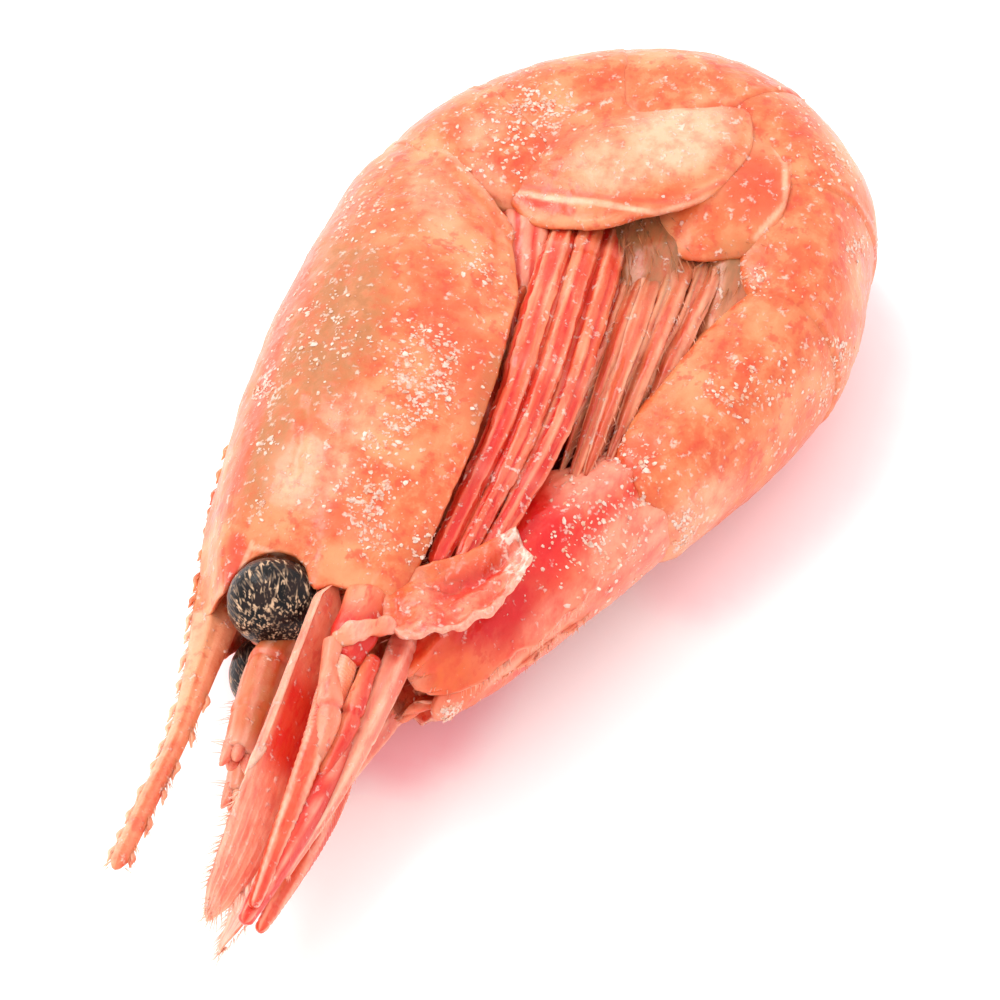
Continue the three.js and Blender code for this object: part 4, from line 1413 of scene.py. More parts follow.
    def build(self, palette: Palette) -> list[bpy.types.Object]:
        """Builds and dresses the six segments."""
        made = []
        for k in range(1, 7):
            body = self._ring_body(k)
            lobe = self.lobes.get(k)
            if lobe:
                plates = [skin(f"plate_{k}", lobe.rows(sign)) for _, sign in LEFT_AND_RIGHT]
                body = join(f"tail_shell_{k}", [body, *plates])
                fuse(body, 0.13, 7)
                lobe.blend(body)
            body.name = f"tail_shell_{k}"
            roughen(body, 2.6, 0.16)
            roughen(body, 0.8, 0.07)
            roughen(body, 0.3, 0.035)
            own = Table.own(vertices_of(body))
            extra: dict[Paint, Array] = {}
            if lobe:
                # Painted light on each side plate: paler on its raised rim as painted highlight, deep red in the groove
                # inside it as painted shade.
                r = lobe.radius(own)
                facing = smooth(4.6, 5.2, np.abs(own[:, 2]))
                extra[Paint.PALE] = facing * 0.15 * bump(0.95, 0.05, r)
                extra[Paint.DEEP] = facing * 0.25 * bump(0.84, 0.05, r)
            paint_marks(body, self.MARKS[k], extra)
            dress(body, palette.shell, [f"abdomen_segment_{k}"])
            made.append(body)
        return made


# Head parts


@dataclass
class Eyes:
    """Both eyes, on the short stalk that joins them."""

    squash: float = 0.97
    widen: float = 1.3  # how much further an eye reaches down than up

    def build(self, palette: Palette) -> None:
        """Builds and dresses the eyes and their stalk."""
        x, y, out = EYE_PLACE
        for name, sign in LEFT_AND_RIGHT:
            start_alone()
            bpy.ops.mesh.primitive_uv_sphere_add(segments=56, ring_count=40, radius=EYE_RADIUS * MM)
            eye = bpy.context.object
            eye.name = f"eye_ball_{name}"
            places = vertices_of(eye) / MM
            places[:, 2] *= self.squash
            dent = 1 - 0.05 * bump(0.0, 0.9, np.linalg.norm(places - np.array([-1.2, 0.6, 1.5 * sign]), axis=1))
            places = places * dent[:, None]
            places[:, 1] *= np.where(places[:, 1] < 0, self.widen, 1.0)
            move_vertices(eye, Table.frame(places + np.array([x, y, MID + sign * out])))
            close_up(eye)
            roughen(eye, 0.5, 0.05)
            dress(eye, palette.eye, [f"eye_{name}"])
        stalk = Limb(((-12.6, 5.2, -1.7), (-12.3, 5.25, 0.0), (-12.6, 5.2, 1.7)), (1.2, 1.0, 1.2), tip=0.4)
        rows, shares, _ = stalk.rows(28, 40, lambda s, a: 0.06 * np.sin(26 * s))
        piece = skin("eye_stalks", rows, {Paint.PALE: 0.5 * bump(0.5, 0.3, shares) + 0 * rows[..., 0]})
        roughen(piece, 0.5, 0.05)
        dress(piece, palette.limb, ["eyestalks"])


@dataclass
class Side:
    """How one side's limbs are bent by the way the animal lies."""

    name: str
    sign: float
    rise: float
    reach: float
    push: float


SIDES = (Side("left", 1.0, 0.0, 0.0, 1.0), Side("right", -1.0, 0.8, 2.2, 0.62))


def shifted(line: Line, side: Side, reach: Sequence[float] = (), rise: Sequence[float] = ()) -> list[tuple[float, float, float]]:
    """A limb's line on one side.

    Args:
        line: Points along, towards the back and out, for the left side.
        side: The side that it is made for.
        reach: The share of that side's reach that each point moves by.
        rise: The share of that side's rise that each point moves by.

    Returns:
        The moved points.
    """
    moved = []
    for i, (x, y, out) in enumerate(line):
        along = side.reach * (reach[i] if i < len(reach) else 0.0)
        up = side.rise * (rise[i] if i < len(rise) else 0.0)
        moved.append((x + along, y + up, side.sign * out))
    return moved


@dataclass
class Feelers:
    """Antennules, antennae with their scales, and the long mouth limbs."""

    antennule: Line = ((-12.4, 2.6, 1.1), (-15.1, 4.4, 1.0), (-18.3, 4.6, 1.15), (-21.6, 4.55, 1.35))
    base: Line = ((-12.6, 0.9, 3.35), (-15.2, 0.95, 3.25), (-17.0, 1.1, 3.1))
    flagellum: Line = ((-16.6, 1.1, 3.05), (-21, 1.15, 2.8), (-30.5, 1.7, 2.0))
    scale: Line = ((-12.6, 2.35, 3.5), (-17, 2.45, 3.15), (-22, 2.55, 2.55), (-27, 2.85, 2.3), (-31.8, 3.35, 2.3))
    maxilliped: Line = ((-9.3, -1.0, 1.1), (-14, -1.05, 2.1), (-18, -0.75, 2.2), (-23, 0.0, 1.8), (-28, 1.0, 1.4))
    ridge: Line = lift((127, 640, 3.7), (122.5, 640.5, 3.95), (118, 641.5, 3.95), (113.5, 644, 3.8))
    tube: Line = lift((113.5, 643, 3.8), (112.4, 649, 3.7), (112.8, 656, 3.6), (112, 663, 3.2), (108.5, 671, 2.75))
    small_tube: Line = lift((122, 647, 2.9), (119.5, 654, 3.0), (116.5, 662, 2.85), (111, 674, 2.4))
    exopod: Line = lift((125, 650, 1.9), (113.5, 671, 2.1), (102.5, 690, 1.9), (94.5, 704, 1.5))

    # Painted shade: the dark slit in the gap between the carapace's front corner and the antenna's base.
    painted_slit_shade = (Stroke(Paint.DEEP, ((127, 637), (123, 638.5), (118, 639)), 2.0, 1.0),)

    def _antennule(self, side: Side) -> bpy.types.Object:
        """The three-jointed stem of the upper feeler, with the ragged stumps of its two threads."""
        stem = Limb(shifted(self.antennule, side), (0.75, 0.98, 0.92, 0.7), tip=0.2)
        rows, shares, angle = stem.rows(36, 90, lambda s, a: joints(s, (0.42, 0.74), 0.05, 0.03) + 0.03 * np.cos(5 * a + 4 * s))
        streaks = smooth(0.2, 1.0, np.cos(6 * angle + 5 * shares))
        paint = {
            Paint.PALE: 0.35 * streaks + 0.5 * smooth(0.86, 1.0, shares),
            Paint.DEEP: 0.3 * bump(0.43, 0.03, shares) + 0.1 * smooth(0.3, 1.0, -np.cos(6 * angle + 5 * shares)),
            Paint.BROWN: 0.6 + 0 * angle,
        }
        pieces = [skin("stem", rows, paint)]
        tip_x, tip_y, tip_out = stem.line[-1]
        for dy, dout, long in ((0.42, 0.2, 1.3), (0.0, 0.3, 0.8), (-0.38, -0.1, 1.2), (0.2, -0.25, 1.0)):
            shred = Limb(
                ((tip_x + 0.6, tip_y + dy, tip_out + dout), (tip_x - 0.3, tip_y + 1.1 * dy, tip_out + dout), (tip_x - long * 0.7, tip_y + 1.4 * dy, tip_out + dout)),
                (0.34, 0.26, 0.06), tip=0.15,
            )
            rows, _, angle = shred.rows(12, 26, lambda s, a: 0.10 * np.sin(60 * s))
            pieces.append(skin("shred", rows, {Paint.PALE: 0.4 + 0 * rows[..., 0], Paint.DEEP: 0.4 * smooth(0.2, 0.9, np.cos(angle)) + 0 * rows[..., 0]}))
        draw = np.random.default_rng(8)
        count = 16
        shares = draw.uniform(0.6, 1.0, count)
        middle, along, wide, deep = stem.frames(shares)
        upper = np.where(wide[:, 1] > 0, 1.0, -1.0)[:, None]
        ways = -0.25 * along * np.sign(along[:, :1]) + wide * upper + deep * draw.uniform(-0.6, 0.6, (count, 1))
        pieces.append(fringe("stem_bristles", middle + 0.75 * wide * upper, ways, draw.uniform(0.4, 1.0, count), 0.03))
        return join(f"antennule_stem_{side.name}", pieces)

    def _base(self, side: Side) -> bpy.types.Object:
        """The bulging lower joints of the antenna, with the knobby ridge across them."""
        stem = Limb(shifted(self.base, side, (), (1.0, 1.0, 1.0)), (0.9, 1.0, 0.72), flat=0.8, tip=0.45)
        rows, shares, angle = stem.rows(36, 60, lambda s, a: 0.04 * np.cos(5 * a) + 0.04 * np.sin(15 * s))
        spots = picture(rows - np.array([0.0, 0.0, MID]))
        painted_slit_shade = max_of(self.painted_slit_shade, spots)
        # The joint is painted deep red from its middle to its end as painted shade in the hollow under the ridge, and
        # the slit deep red and brown as painted shade.
        pieces = [skin("joint", rows, {Paint.DEEP: np.maximum(smooth(0.1, 0.5, shares), painted_slit_shade) + 0 * angle, Paint.BROWN: 0.9 * painted_slit_shade})]
        ridge = Limb(shifted(self.ridge, side, (), (1.2, 1.2, 1.0, 1.0)), (0.36, 0.46, 0.42, 0.5, 0.46), tip=0.3)
        rows, shares, angle = ridge.rows(26, 60, lambda s, a: 0.10 * np.sin(11 * s + 1) + 0.09 * np.sin(23 * s + 2 + a) + 0.05 * np.cos(4 * a))
        pieces.append(skin("ridge", rows, {Paint.PALE: 0.5 + 0.4 * np.sin(11 * shares + 1) + 0 * angle}))
        return join(f"antenna_joint_{side.name}", pieces)

    def _flagellum(self, side: Side) -> bpy.types.Object:
        """The thread of the antenna, and the two short tubes that it comes from."""
        thread = Limb(shifted(self.flagellum, side, (0, 0, 1), (0, 0, 0.4)), (0.62, 0.68, 0.62, 0.5, 0.26), tip=0.3)
        rows, shares, angle = thread.rows(24, 210, lambda s, a: 0.03 * np.sin(260 * s) + 0.07 * np.cos(4 * a + 6 * s))
        # Painted light on the thread: pale on the ridges between its grooves as painted highlight, deep red in the
        # grooves as painted shade.
        stripes = np.cos(4 * angle + 6 * shares)
        paint = {Paint.DEEP: 0.5 * smooth(0.5, -0.4, stripes) * smooth(0.1, 0.3, shares), Paint.PALE: 0.65 * smooth(0.0, 0.9, stripes)}
        pieces = [skin("thread", rows, paint)]
        for line, radii in ((self.tube, (0.42, 0.36, 0.5, 0.45, 0.3)), (self.small_tube, (0.36, 0.4, 0.45, 0.3))):
            if side.sign < 0:
                continue
            tube = Limb(line, radii, flat=0.8, tip=0.16)
            rows, shares, angle = tube.rows(26, 60, lambda s, a: joints(s, (0.55,), 0.14, 0.05) + 0.06 * np.cos(4 * a + 2 * s) + 0.05 * np.sin(21 * s))
            # A painted highlight down one side of each tube, and painted shade in deep red down the other.
            glint = bump(3.1, 0.7, angle)
            wide = line is self.tube
            paint = {
                Paint.PALE: (0.2 if wide else 0.0) + (0.7 if wide else 0.4) * glint * bump(0.5, 0.12, shares),
                Paint.DEEP: (0.3 if wide else 0.9) * smooth(0.9, -0.6, np.cos(angle - 3.1)) + 0.4 * bump(0.57, 0.03, shares),
            }
            pieces.append(skin("tube", rows, paint))
        return join(f"antenna_thread_{side.name}", pieces)

    def _scale(self, side: Side) -> bpy.types.Object:
        """The broad antennal scale: a stiff rib with a spine at its end, and a thin streaked blade with a frayed tip."""
        line = shifted(self.scale, side, (0, 0, 0, 0.5, 1))
        blade = Limb(line, (0.11, 0.17, 0.3, 0.3, 0.17), flat=4.6, roll=42 * side.sign, tip=1.6)
        shares = np.linspace(0, 1, 170)
        middle, along, thin, wide = blade.frames(shares)
        half = read_sizes((0.75, 0.95, 1.25, 1.22, 0.5), shares * 4)
        half = half * np.sqrt(np.clip(1 - (1 - np.clip((1 - shares) * 19 / 1.6, 0.02, 1)) ** 2, 0, 1))
        half = half * (0.25 + 0.75 * smooth(0, 0.08, shares)) * (1 + 0.05 * np.sin(70 * shares) * smooth(0.75, 1, shares))
        upper = 1.0 if wide[50, 1] > 0 else -1.0
        across = np.linspace(1, -1, 44)[None, :]
        s = shares[:, None]
        ends = smooth(0.58, 0.53, s)
        fanned = across * (0.9 + 0.2 * np.sin(3 * s)) + 0.5 * s
        stripes = 0.5 + 0.3 * np.cos(19 * fanned + 1.2 * np.sin(9 * s)) + 0.2 * np.cos(43 * fanned + 5 * s)
        thick = 0.05 + (0.20 * ends + 0.04) * bump(0.88, 0.10, across) + 0.02 * stripes * smooth(0.3, 0.6, s)
        edge = wide * upper * half[:, None]
        bend = thin * (0.10 * np.sin(11 * shares) * smooth(0.4, 1.0, shares))[:, None]
        surface = middle[:, None, :] + edge[:, None, :] * across[..., None] + bend[:, None, :] * (1 - across[..., None])
        red = smooth(0.6, 0.5, s) * smooth(0.24, 0.36, s) * smooth(0.75, 0.45, across)
        rib = 0.5 * bump(0.9, 0.09, across) * (0.5 + 0.5 * ends)
        frayed = 0.6 * smooth(0.62, 0.95, stripes) * smooth(0.5, 0.85, s) + 0.4 * smooth(0.9, 1, s)
        paint = {
            Paint.PALE: 0.25 * (1 - red) + rib + 0.25 * smooth(0.5, 0.7, s) + frayed,
            Paint.DEEP: 0.95 * red + 0.3 * smooth(0.4, 0.1, stripes) * smooth(0.5, 0.7, s),
        }
        pieces = [sheet("blade", surface, thick * np.clip(half / 0.5, 0, 1)[:, None], paint)]
        draw = np.random.default_rng(3)
        count = 150
        tip = draw.integers(112, 169, count)
        beside = draw.choice((-1.0, -0.6, -0.2, 0.2, 0.6, 1.0), count)
        beside = np.where(tip < 158, np.sign(beside), beside)
        roots = middle[tip] + edge[tip] * (0.97 * beside)[:, None]
        ways = along[tip] + 0.5 * edge[tip] * beside[:, None] / half[tip][:, None] + draw.normal(0, 0.16, (count, 3))
        pieces.append(fringe("blade_bristles", roots, ways, draw.uniform(0.5, 1.15, count), 0.032))
        k = 92
        root = middle[k] + 0.85 * edge[k] - [0, 0, MID]
        ahead = along[k] * 1.5 + 0.25 * edge[k] / half[k]
        spine = Limb([tuple(root - 0.3 * ahead), tuple(root + 0.3 * ahead), tuple(root + ahead)], (0.26, 0.2, 0.03), tip=0.1)
        rows, _, _ = spine.rows(10, 14)
        pieces.append(skin("spine", rows, {Paint.PALE: 1.0 + 0 * rows[..., 0]}))
        return join(f"antennal_blade_{side.name}", pieces)

    def _maxilliped(self, side: Side) -> bpy.types.Object:
        """The long jointed mouth limb that lies under the feelers."""
        line = shifted(self.maxilliped, side, (0, 0, 0, 0.5, 1), (0, 0.7, 1.8, 1.9, 1.6))
        limb = Limb(line, (0.55, 0.66, 0.62, 0.5, 0.2), tip=0.4)
        rows, shares, angle = limb.rows(30, 150, lambda s, a: joints(s, (0.3, 0.6), 0.05, 0.015) + 0.07 * np.cos(5 * a + 3 * s))
        # Painted light: pale on the ridges between the limb's grooves as painted highlight, deep red in the grooves as
        # painted shade.
        stripes = np.cos(5 * angle + 3 * shares)
        paint = {Paint.PALE: 0.3 + 0.5 * smooth(0.2, 1.0, stripes), Paint.DEEP: 0.6 * smooth(0.0, -0.8, stripes) * smooth(0.1, 0.3, shares)}
        pieces = [skin("limb", rows, paint)]
        draw = np.random.default_rng(21)
        count = 70
        places = draw.uniform(0.55, 1.0, count)
        middle, along, wide, deep = limb.frames(places)
        turn = draw.uniform(0, 2 * math.pi, (count, 1))
        outward = wide * np.cos(turn) + deep * np.sin(turn)
        size = read_sizes(limb.radii, places * 4)[:, None] * 0.9
        pieces.append(fringe("limb_bristles", middle + size * outward, along + 0.6 * outward, draw.uniform(0.25, 0.6, count), 0.03))
        if side.sign > 0:
            branch = Limb(self.exopod, (0.4, 0.62, 0.6, 0.32), tip=0.3)
            rows, shares, angle = branch.rows(22, 90, lambda s, a: 0.07 * np.cos(5 * a + 3 * s))
            # The branch likewise: painted highlight on its ribs, and painted shade in deep red between them.
            ribs = smooth(0.5, 1.0, np.cos(5 * angle + 3 * shares) + 0.2 * np.sin(40 * shares))
            pieces.append(skin("branch", rows, {Paint.DEEP: 0.9 - 0.5 * ribs, Paint.PALE: 0.5 * ribs}))
        return join(f"mouth_limb_{side.name}", pieces)

    def build(self, palette: Palette) -> dict[str, bpy.types.Object]:
        """Builds and dresses all feelers and mouth limbs."""
        made = {}
        for side in SIDES:
            for piece, node in (
                (self._antennule(side), "antennule"),
                (self._base(side), "antenna_base"),
                (self._flagellum(side), "antenna_flagellum"),
                (self._scale(side), "antennal_scale"),
                (self._maxilliped(side), "maxilliped"),
            ):
                roughen(piece, 0.6, 0.05)
                dress(piece, palette.limb, [f"{node}_{side.name}"])
                made[f"{node}_{side.name}"] = piece
        return made


@dataclass
class MouthPlates:
    """The thin ruffled plates beside the mouth, each curled at its hind end."""

    upper: Line = lift((123, 629, 3.2), (131, 627.5, 3.75), (139, 625, 4.0), (147, 622, 4.2), (153.5, 619.5, 4.3))
    lower: Line = lift((122, 641, 3.4), (131, 643, 3.9), (139.5, 641.5, 4.1), (148.5, 637.5, 4.2), (157, 628, 4.35))
    reach_share: float = 0.8
    middle_y: float = -2.9

    def build(self, palette: Palette) -> None:
        """Builds and dresses both plates."""
        t = np.linspace(0, 1, 110)
        w = np.linspace(0, 1, 44)[None, :]
        for side in SIDES:
            top, bottom = (
                curve_through([(x, y, out) for x, y, out in line], t) for line in (self.upper, self.lower)
            )
            surface = top[:, None, :] + (bottom - top)[:, None, :] * w[..., None]
            s = t[:, None]
            run = s + 0.05 * np.sin(9 * s)
            scallop = 0.09 * np.sin(26 * run + 0.6) + 0.06 * np.sin(47 * s)
            surface = surface + ((bottom - top) / 4.0)[:, None, :] * (scallop * w**3)[..., None]
            pleat = np.sin(26 * run - 1.5 * w) * (0.5 + 0.5 * np.sin(5 * s + 1))
            folds = 0.13 * pleat * (0.25 + 0.75 * w) + 0.09 * np.sin(15 * w + 7 * s) + 0.2 * smooth(0.82, 1.0, w)
            curl = 0.55 * smooth(0.8, 1.0, s) * (0.4 + 0.6 * w) - 0.5 * bump(0.35, 0.2, w) * smooth(0.2, 0.6, s)
            surface[..., 2] += folds + curl
            surface[..., 0] += side.reach * self.reach_share
            surface[..., 1] = self.middle_y + (surface[..., 1] - self.middle_y) * side.push + 0.8 * side.rise
            surface[..., 2] = MID + side.sign * surface[..., 2] * (0.5 + 0.5 * side.push)
            # Painted light on the plate: paler on the crests of its pleats as painted highlight, deep red in their
            # troughs and in the hollow along its middle as painted shade.
            paint = {
                Paint.PALE: 0.8 * smooth(0.93, 0.99, w) + 0.8 * smooth(0.8, 1.0, s) + 0.25 * smooth(0.3, 1.0, pleat),
                Paint.DEEP: 0.4 * smooth(0.0, 0.9, -pleat) * smooth(0.95, 0.7, w) + 0.8 * bump(0.4, 0.25, w) * smooth(0.3, 0.6, s) * smooth(0.95, 0.75, s),
                Paint.BROWN: 0.9 * np.maximum(smooth(0.5, 0.15, s) * smooth(0.95, 0.6, w), smooth(0.45, 0.1, w) * smooth(0.95, 0.7, s)),
                Paint.FROST: 0.5 * smooth(0.7, 1.0, s) + 0 * w,
            }
            piece = sheet(f"mouth_flap_{side.name}", surface, np.full(surface.shape[:2], 0.07), paint)
            roughen(piece, 1.7, 0.5)
            roughen(piece, 0.6, 0.2)
            dress(piece, palette.flap, [f"mouth_plate_{side.name}"])


@dataclass
class Legs:
    """The underside of the head part and the ten walking legs."""

    chest: Line = ((-9.5, -1.0, 0), (-5, -1.45, 0), (2, -1.6, 0), (7.2, -2.2, 0), (10.0, -3.4, 0))
    chest_radii: Sequence[float] = (0.6, 1.1, 1.25, 1.25, 1.0)
    flesh: Line = ((14.6, -3.6, 1.8), (12.0, -3.7, 2.7), (8.0, -3.7, 3.1), (2.0, -3.7, 3.2), (-6.0, -3.0, 2.9))
    flesh_radii: Sequence[float] = (1.3, 2.1, 2.3, 2.1, 1.2)
    corner: Line = ((13.0, 0.4, 3.4), (10.8, -0.8, 4.0), (8.4, -1.3, 4.0), (5.4, -1.8, 3.8), (1.0, -2.0, 3.6))
    corner_radii: Sequence[float] = (1.0, 1.4, 1.3, 1.0, 0.7)
    lines: dict[int, Line] = field(
        default_factory=lambda: {
            1: ((-3.6, -2.4, 1.3), (-6.6, -3.2, 1.6), (-9.4, -2.3, 1.2)),
            2: ((-1.2, -2.3, 2.3), (-5.0, -3.5, 2.9), (-9.4, -2.6, 2.6)),
            3: ((12.6, -2.2, 3.1), (9.9, -2.6, 4.1), (5.0, -2.75, 4.75), (-2.0, -2.7, 4.4), (-10.8, -1.6, 3.6)),
            4: ((13.4, -3.4, 2.9), (10.6, -3.7, 3.9), (5.0, -3.85, 4.4), (-2.0, -3.75, 4.2), (-10.3, -2.6, 3.4)),
            5: ((13.8, -4.5, 2.6), (11.0, -4.75, 3.5), (5.0, -4.95, 3.9), (-2.0, -4.85, 3.8), (-9.8, -3.5, 3.2)),
        }
    )
    radii: Sequence[float] = (0.45, 0.68, 0.72, 0.66, 0.42)
    knees: Sequence[float] = (0.34, 0.66, 0.86)
    flat: float = 0.78

    def build(self, palette: Palette) -> None:
        """Builds and dresses the chest and the legs."""
        chest = Limb(self.chest, self.chest_radii, flat=3.5, tip=0.8)
        rows, shares, angle = chest.rows(90, 130, lambda s, a: 0.05 * np.sin(34 * s + 2 * np.cos(3 * a)) + 0.03 * np.cos(9 * a))
        paint = {Paint.DEEP: 0.5 + 0.3 * np.sin(34 * shares) + 0 * angle, Paint.BROWN: 0.55 * bump(0.75, 0.3, shares) + 0 * angle}
        pieces = [skin("chest", rows, paint)]
        for _, sign in LEFT_AND_RIGHT:
            for line, radii, flat in ((self.flesh, self.flesh_radii, 0.36), (self.corner, self.corner_radii, 0.5)):
                flesh = Limb([(x, y, sign * out) for x, y, out in line], radii, flat=flat, tip=0.8)
                rows, shares, angle = flesh.rows(60, 120, lambda s, a: 0.02 * np.sin(40 * s + 2 * np.cos(3 * a)) + 0.05 * np.cos(11 * a + 2 * s))
                # Painted shade in deep red in the flesh's creases, and painted highlight between them.
                creases = smooth(0.2, -0.8, np.cos(11 * angle + 2 * shares))
                paint = {Paint.BROWN: 0.6 * smooth(0.75, 0.1, shares) + 0 * angle, Paint.DEEP: 0.25 + 0.6 * creases, Paint.PALE: 0.4 * (1 - creases)}
                pieces.append(skin("flesh", rows, paint))
        piece = join("chest", pieces)
        roughen(piece, 0.8, 0.2)
        dress(piece, palette.limb, ["thorax"])
        draw = np.random.default_rng(17)
        for name, sign in LEFT_AND_RIGHT:
            for number, line in self.lines.items():
                points = [(x, y, sign * out) for x, y, out in line]
                limb = Limb(points, self.radii if len(points) > 3 else (0.66, 0.7, 0.3), flat=self.flat, tip=0.5)
                phase = 1.7 * number

                def grooves(s: Array, a: Array) -> Array:
                    """Joints and fine lengthwise grooves."""
                    return joints(s, self.knees, 0.05, 0.015) + 0.08 * np.cos(6 * a + 3 * s + phase) + 0.05 * np.cos(13 * a - 5 * s)

                rows, shares, angle = limb.rows(44, 170, grooves)
                # Painted light along each leg: pale on the ridges between its lengthwise grooves as painted highlight,
                # deep red in the grooves as painted shade, and deep red towards its end, where it runs in under the
                # mouth plates, as painted shade.
                stripes = np.cos(6 * angle + 3 * shares + phase) + 0.6 * np.cos(13 * angle - 5 * shares) + 0.3 * np.sin(37 * shares + phase + 2 * angle)
                paint = {
                    Paint.PALE: 0.34 * smooth(0.8, 1.4, stripes) * smooth(1.0, 0.75, shares) + 0.15 * sum(bump(k - 0.01, 0.015, shares) for k in self.knees),
                    Paint.DEEP: 0.85 * smooth(0.6, -0.6, stripes) + 0.5 * smooth(0.6, 0.95, shares) + 0 * angle,
                    Paint.BROWN: 0.8 * smooth(0.45, 0.1, shares) + 0 * angle,
                    Paint.FROST: 0.08 + 0.1 * bump(0.9, 0.1, shares) + 0 * angle,
                }
                pieces = [skin("leg", rows, paint)]
                count = 26
                places = draw.uniform(0.7, 1.0, count)
                middle, along, wide, deep = limb.frames(places)
                turn = draw.uniform(0, 2 * math.pi, (count, 1))
                outward = wide * np.cos(turn) + self.flat * deep * np.sin(turn)
                size = read_sizes(limb.radii, places * (len(points) - 1))[:, None] * 0.85
                pieces.append(fringe("leg_bristles", middle + size * outward, along + 0.5 * outward, draw.uniform(0.2, 0.5, count), 0.028))
                piece = join(f"walking_leg_{number}_{name}", pieces)
                roughen(piece, 1.8, 0.3)
                roughen(piece, 0.35, 0.06)
                dress(piece, palette.limb, [f"leg_{number}_{name}"])


@dataclass
class SwimmingLegs:
    """Ten swimming legs: a broad stem, and thin leaves folded forward from it."""

    lines: dict[int, Line] = field(
        default_factory=lambda: {
            1: ((13.5, -0.9, 2.3), (13.3, -4.0, 2.5), (12.4, -6.0, 2.95), (6.0, -6.5, 3.6), (-4.4, -6.1, 2.5)),
            2: ((15.4, -3.0, 2.4), (14.05, -6.95, 2.85), (8.0, -7.75, 3.6), (-2.6, -7.3, 2.3)),
            3: ((16.5, -5.9, 2.4), (14.5, -8.2, 2.8), (8.4, -9.05, 3.5), (0.2, -8.4, 2.3)),
            4: ((15.7, -8.5, 1.0), (12.9, -6.9, 1.05), (8.0, -7.2, 1.1), (-3.6, -6.2, 1.1)),
            5: ((12.4, -10.7, 1.05), (11.6, -8.9, 1.05), (7.0, -8.7, 1.1), (1.2, -7.8, 1.1)),
        }
    )
    radii: Sequence[float] = (0.78, 0.85, 0.42, 0.2)
    flat: float = 0.7
    # For each leaf, how far it lies towards the back and out from the stem, where it starts, and its half width
    leaves: Line = ((-0.5, 0.34, 0.30, 0.5), (0.15, 0.24, 0.38, 0.34), (0.7, 0.05, 0.26, 0.36))
    gather: dict[int, float] = field(default_factory=lambda: {1: 0.1, 2: 0.5, 3: 0.6, 4: 0.0, 5: 0.0})
    pads: dict[int, Line] = field(
        default_factory=lambda: {
            1: ((14.8, -2.2, 2.6), (13.4, -4.4, 3.5), (10.6, -6.6, 3.7), (6.5, -7.2, 2.9)),
            3: ((16.0, -5.2, 2.6), (13.6, -7.8, 3.3), (11.0, -10.2, 3.4), (5.6, -10.6, 2.9)),
        }
    )

    def _leaf(self, points: Line, leaf: Sequence[float], sign: float, phase: float, gather: float) -> list[bpy.types.Object]:
        """One thin leaf that runs along the stem, with wavy edges and a fringe at its end.

        Args:
            points: The stem's line.
            leaf: The leaf's offsets, start and half width.
            sign: The side of the animal.
            phase: Where its waves begin.
            gather: How far its end bends towards the legs, in millimetres.

        Returns:
            The leaf and its bristles.
        """
        dy, dout, begin, half_width = leaf
        s = np.linspace(0, 1, 90)
        line = [(x, y, MID + out) for x, y, out in points]
        guide = curve_through(line, begin + (0.97 - begin) * s)
        limb = Limb([(x, y, z - MID) for x, y, z in guide[::18]] + [(guide[-1, 0], guide[-1, 1], guide[-1, 2] - MID)], (1, 1))
        middle, along, wide, deep = limb.frames(s)
        outward = np.where(deep[:, 2:3] * sign > 0, 1.0, -1.0) * deep
        back = np.where(wide[:, 1:2] > 0, 1.0, -1.0) * wide
        middle = middle + back * (dy + gather * smooth(0.35, 1.0, s)[:, None]) + outward * (dout - 0.25 * smooth(0.75, 1.0, s)[:, None])
        half = half_width * (0.35 + 0.65 * smooth(0, 0.15, s)) * np.clip((1.02 - s) / 0.3, 0.02, 1) ** 0.6
        across = np.linspace(-1, 1, 20)[None, :]
        edge = (0.14 * np.sin(9 * s + phase) + 0.06 * np.sin(31 * s + 2 * phase))[:, None] * across
        wave = edge - 0.18 * across**2 + 0.05 * np.cos(4 * across + phase + 4 * s[:, None])
        surface = middle[:, None, :] + wide[:, None, :] * (half[:, None] * across)[..., None] + outward[:, None, :] * wave[..., None]
        stripes = 0.7 * np.cos(3.1 * across + phase + 2.0 * s[:, None]) + 0.4 * np.cos(8 * across - 3 * s[:, None] + 2 * phase)
        paint = {
            Paint.PALE: (0.7 if dy < 0 else 0.25) * smooth(-0.1, 0.9, stripes) * smooth(0.1, 0.4, s)[:, None],
            Paint.DEEP: (0.5 if dy < 0 else 0.8) * smooth(0.3, -0.7, stripes) * smooth(0.3, 0.7, s)[:, None],
            Paint.BROWN: smooth(0.75, 0.15, s)[:, None] * (1.0 - 0.4 * smooth(0.2, 0.9, stripes)),
        }
        draw = np.random.default_rng(int(phase * 10) + 40)
        count = 34
        k = draw.integers(45, 89, count)
        beside = np.sign(draw.normal(0, 1, count))[:, None]
        roots = middle[k] + wide[k] * half[k][:, None] * beside - 0.1 * outward[k]
        ways = along[k] + 0.6 * wide[k] * beside
        bristles = fringe("leaf_bristles", roots, ways, draw.uniform(0.25, 0.6, count), 0.026)
        return [sheet("leaf", surface, np.full(surface.shape[:2], 0.055), paint), bristles]

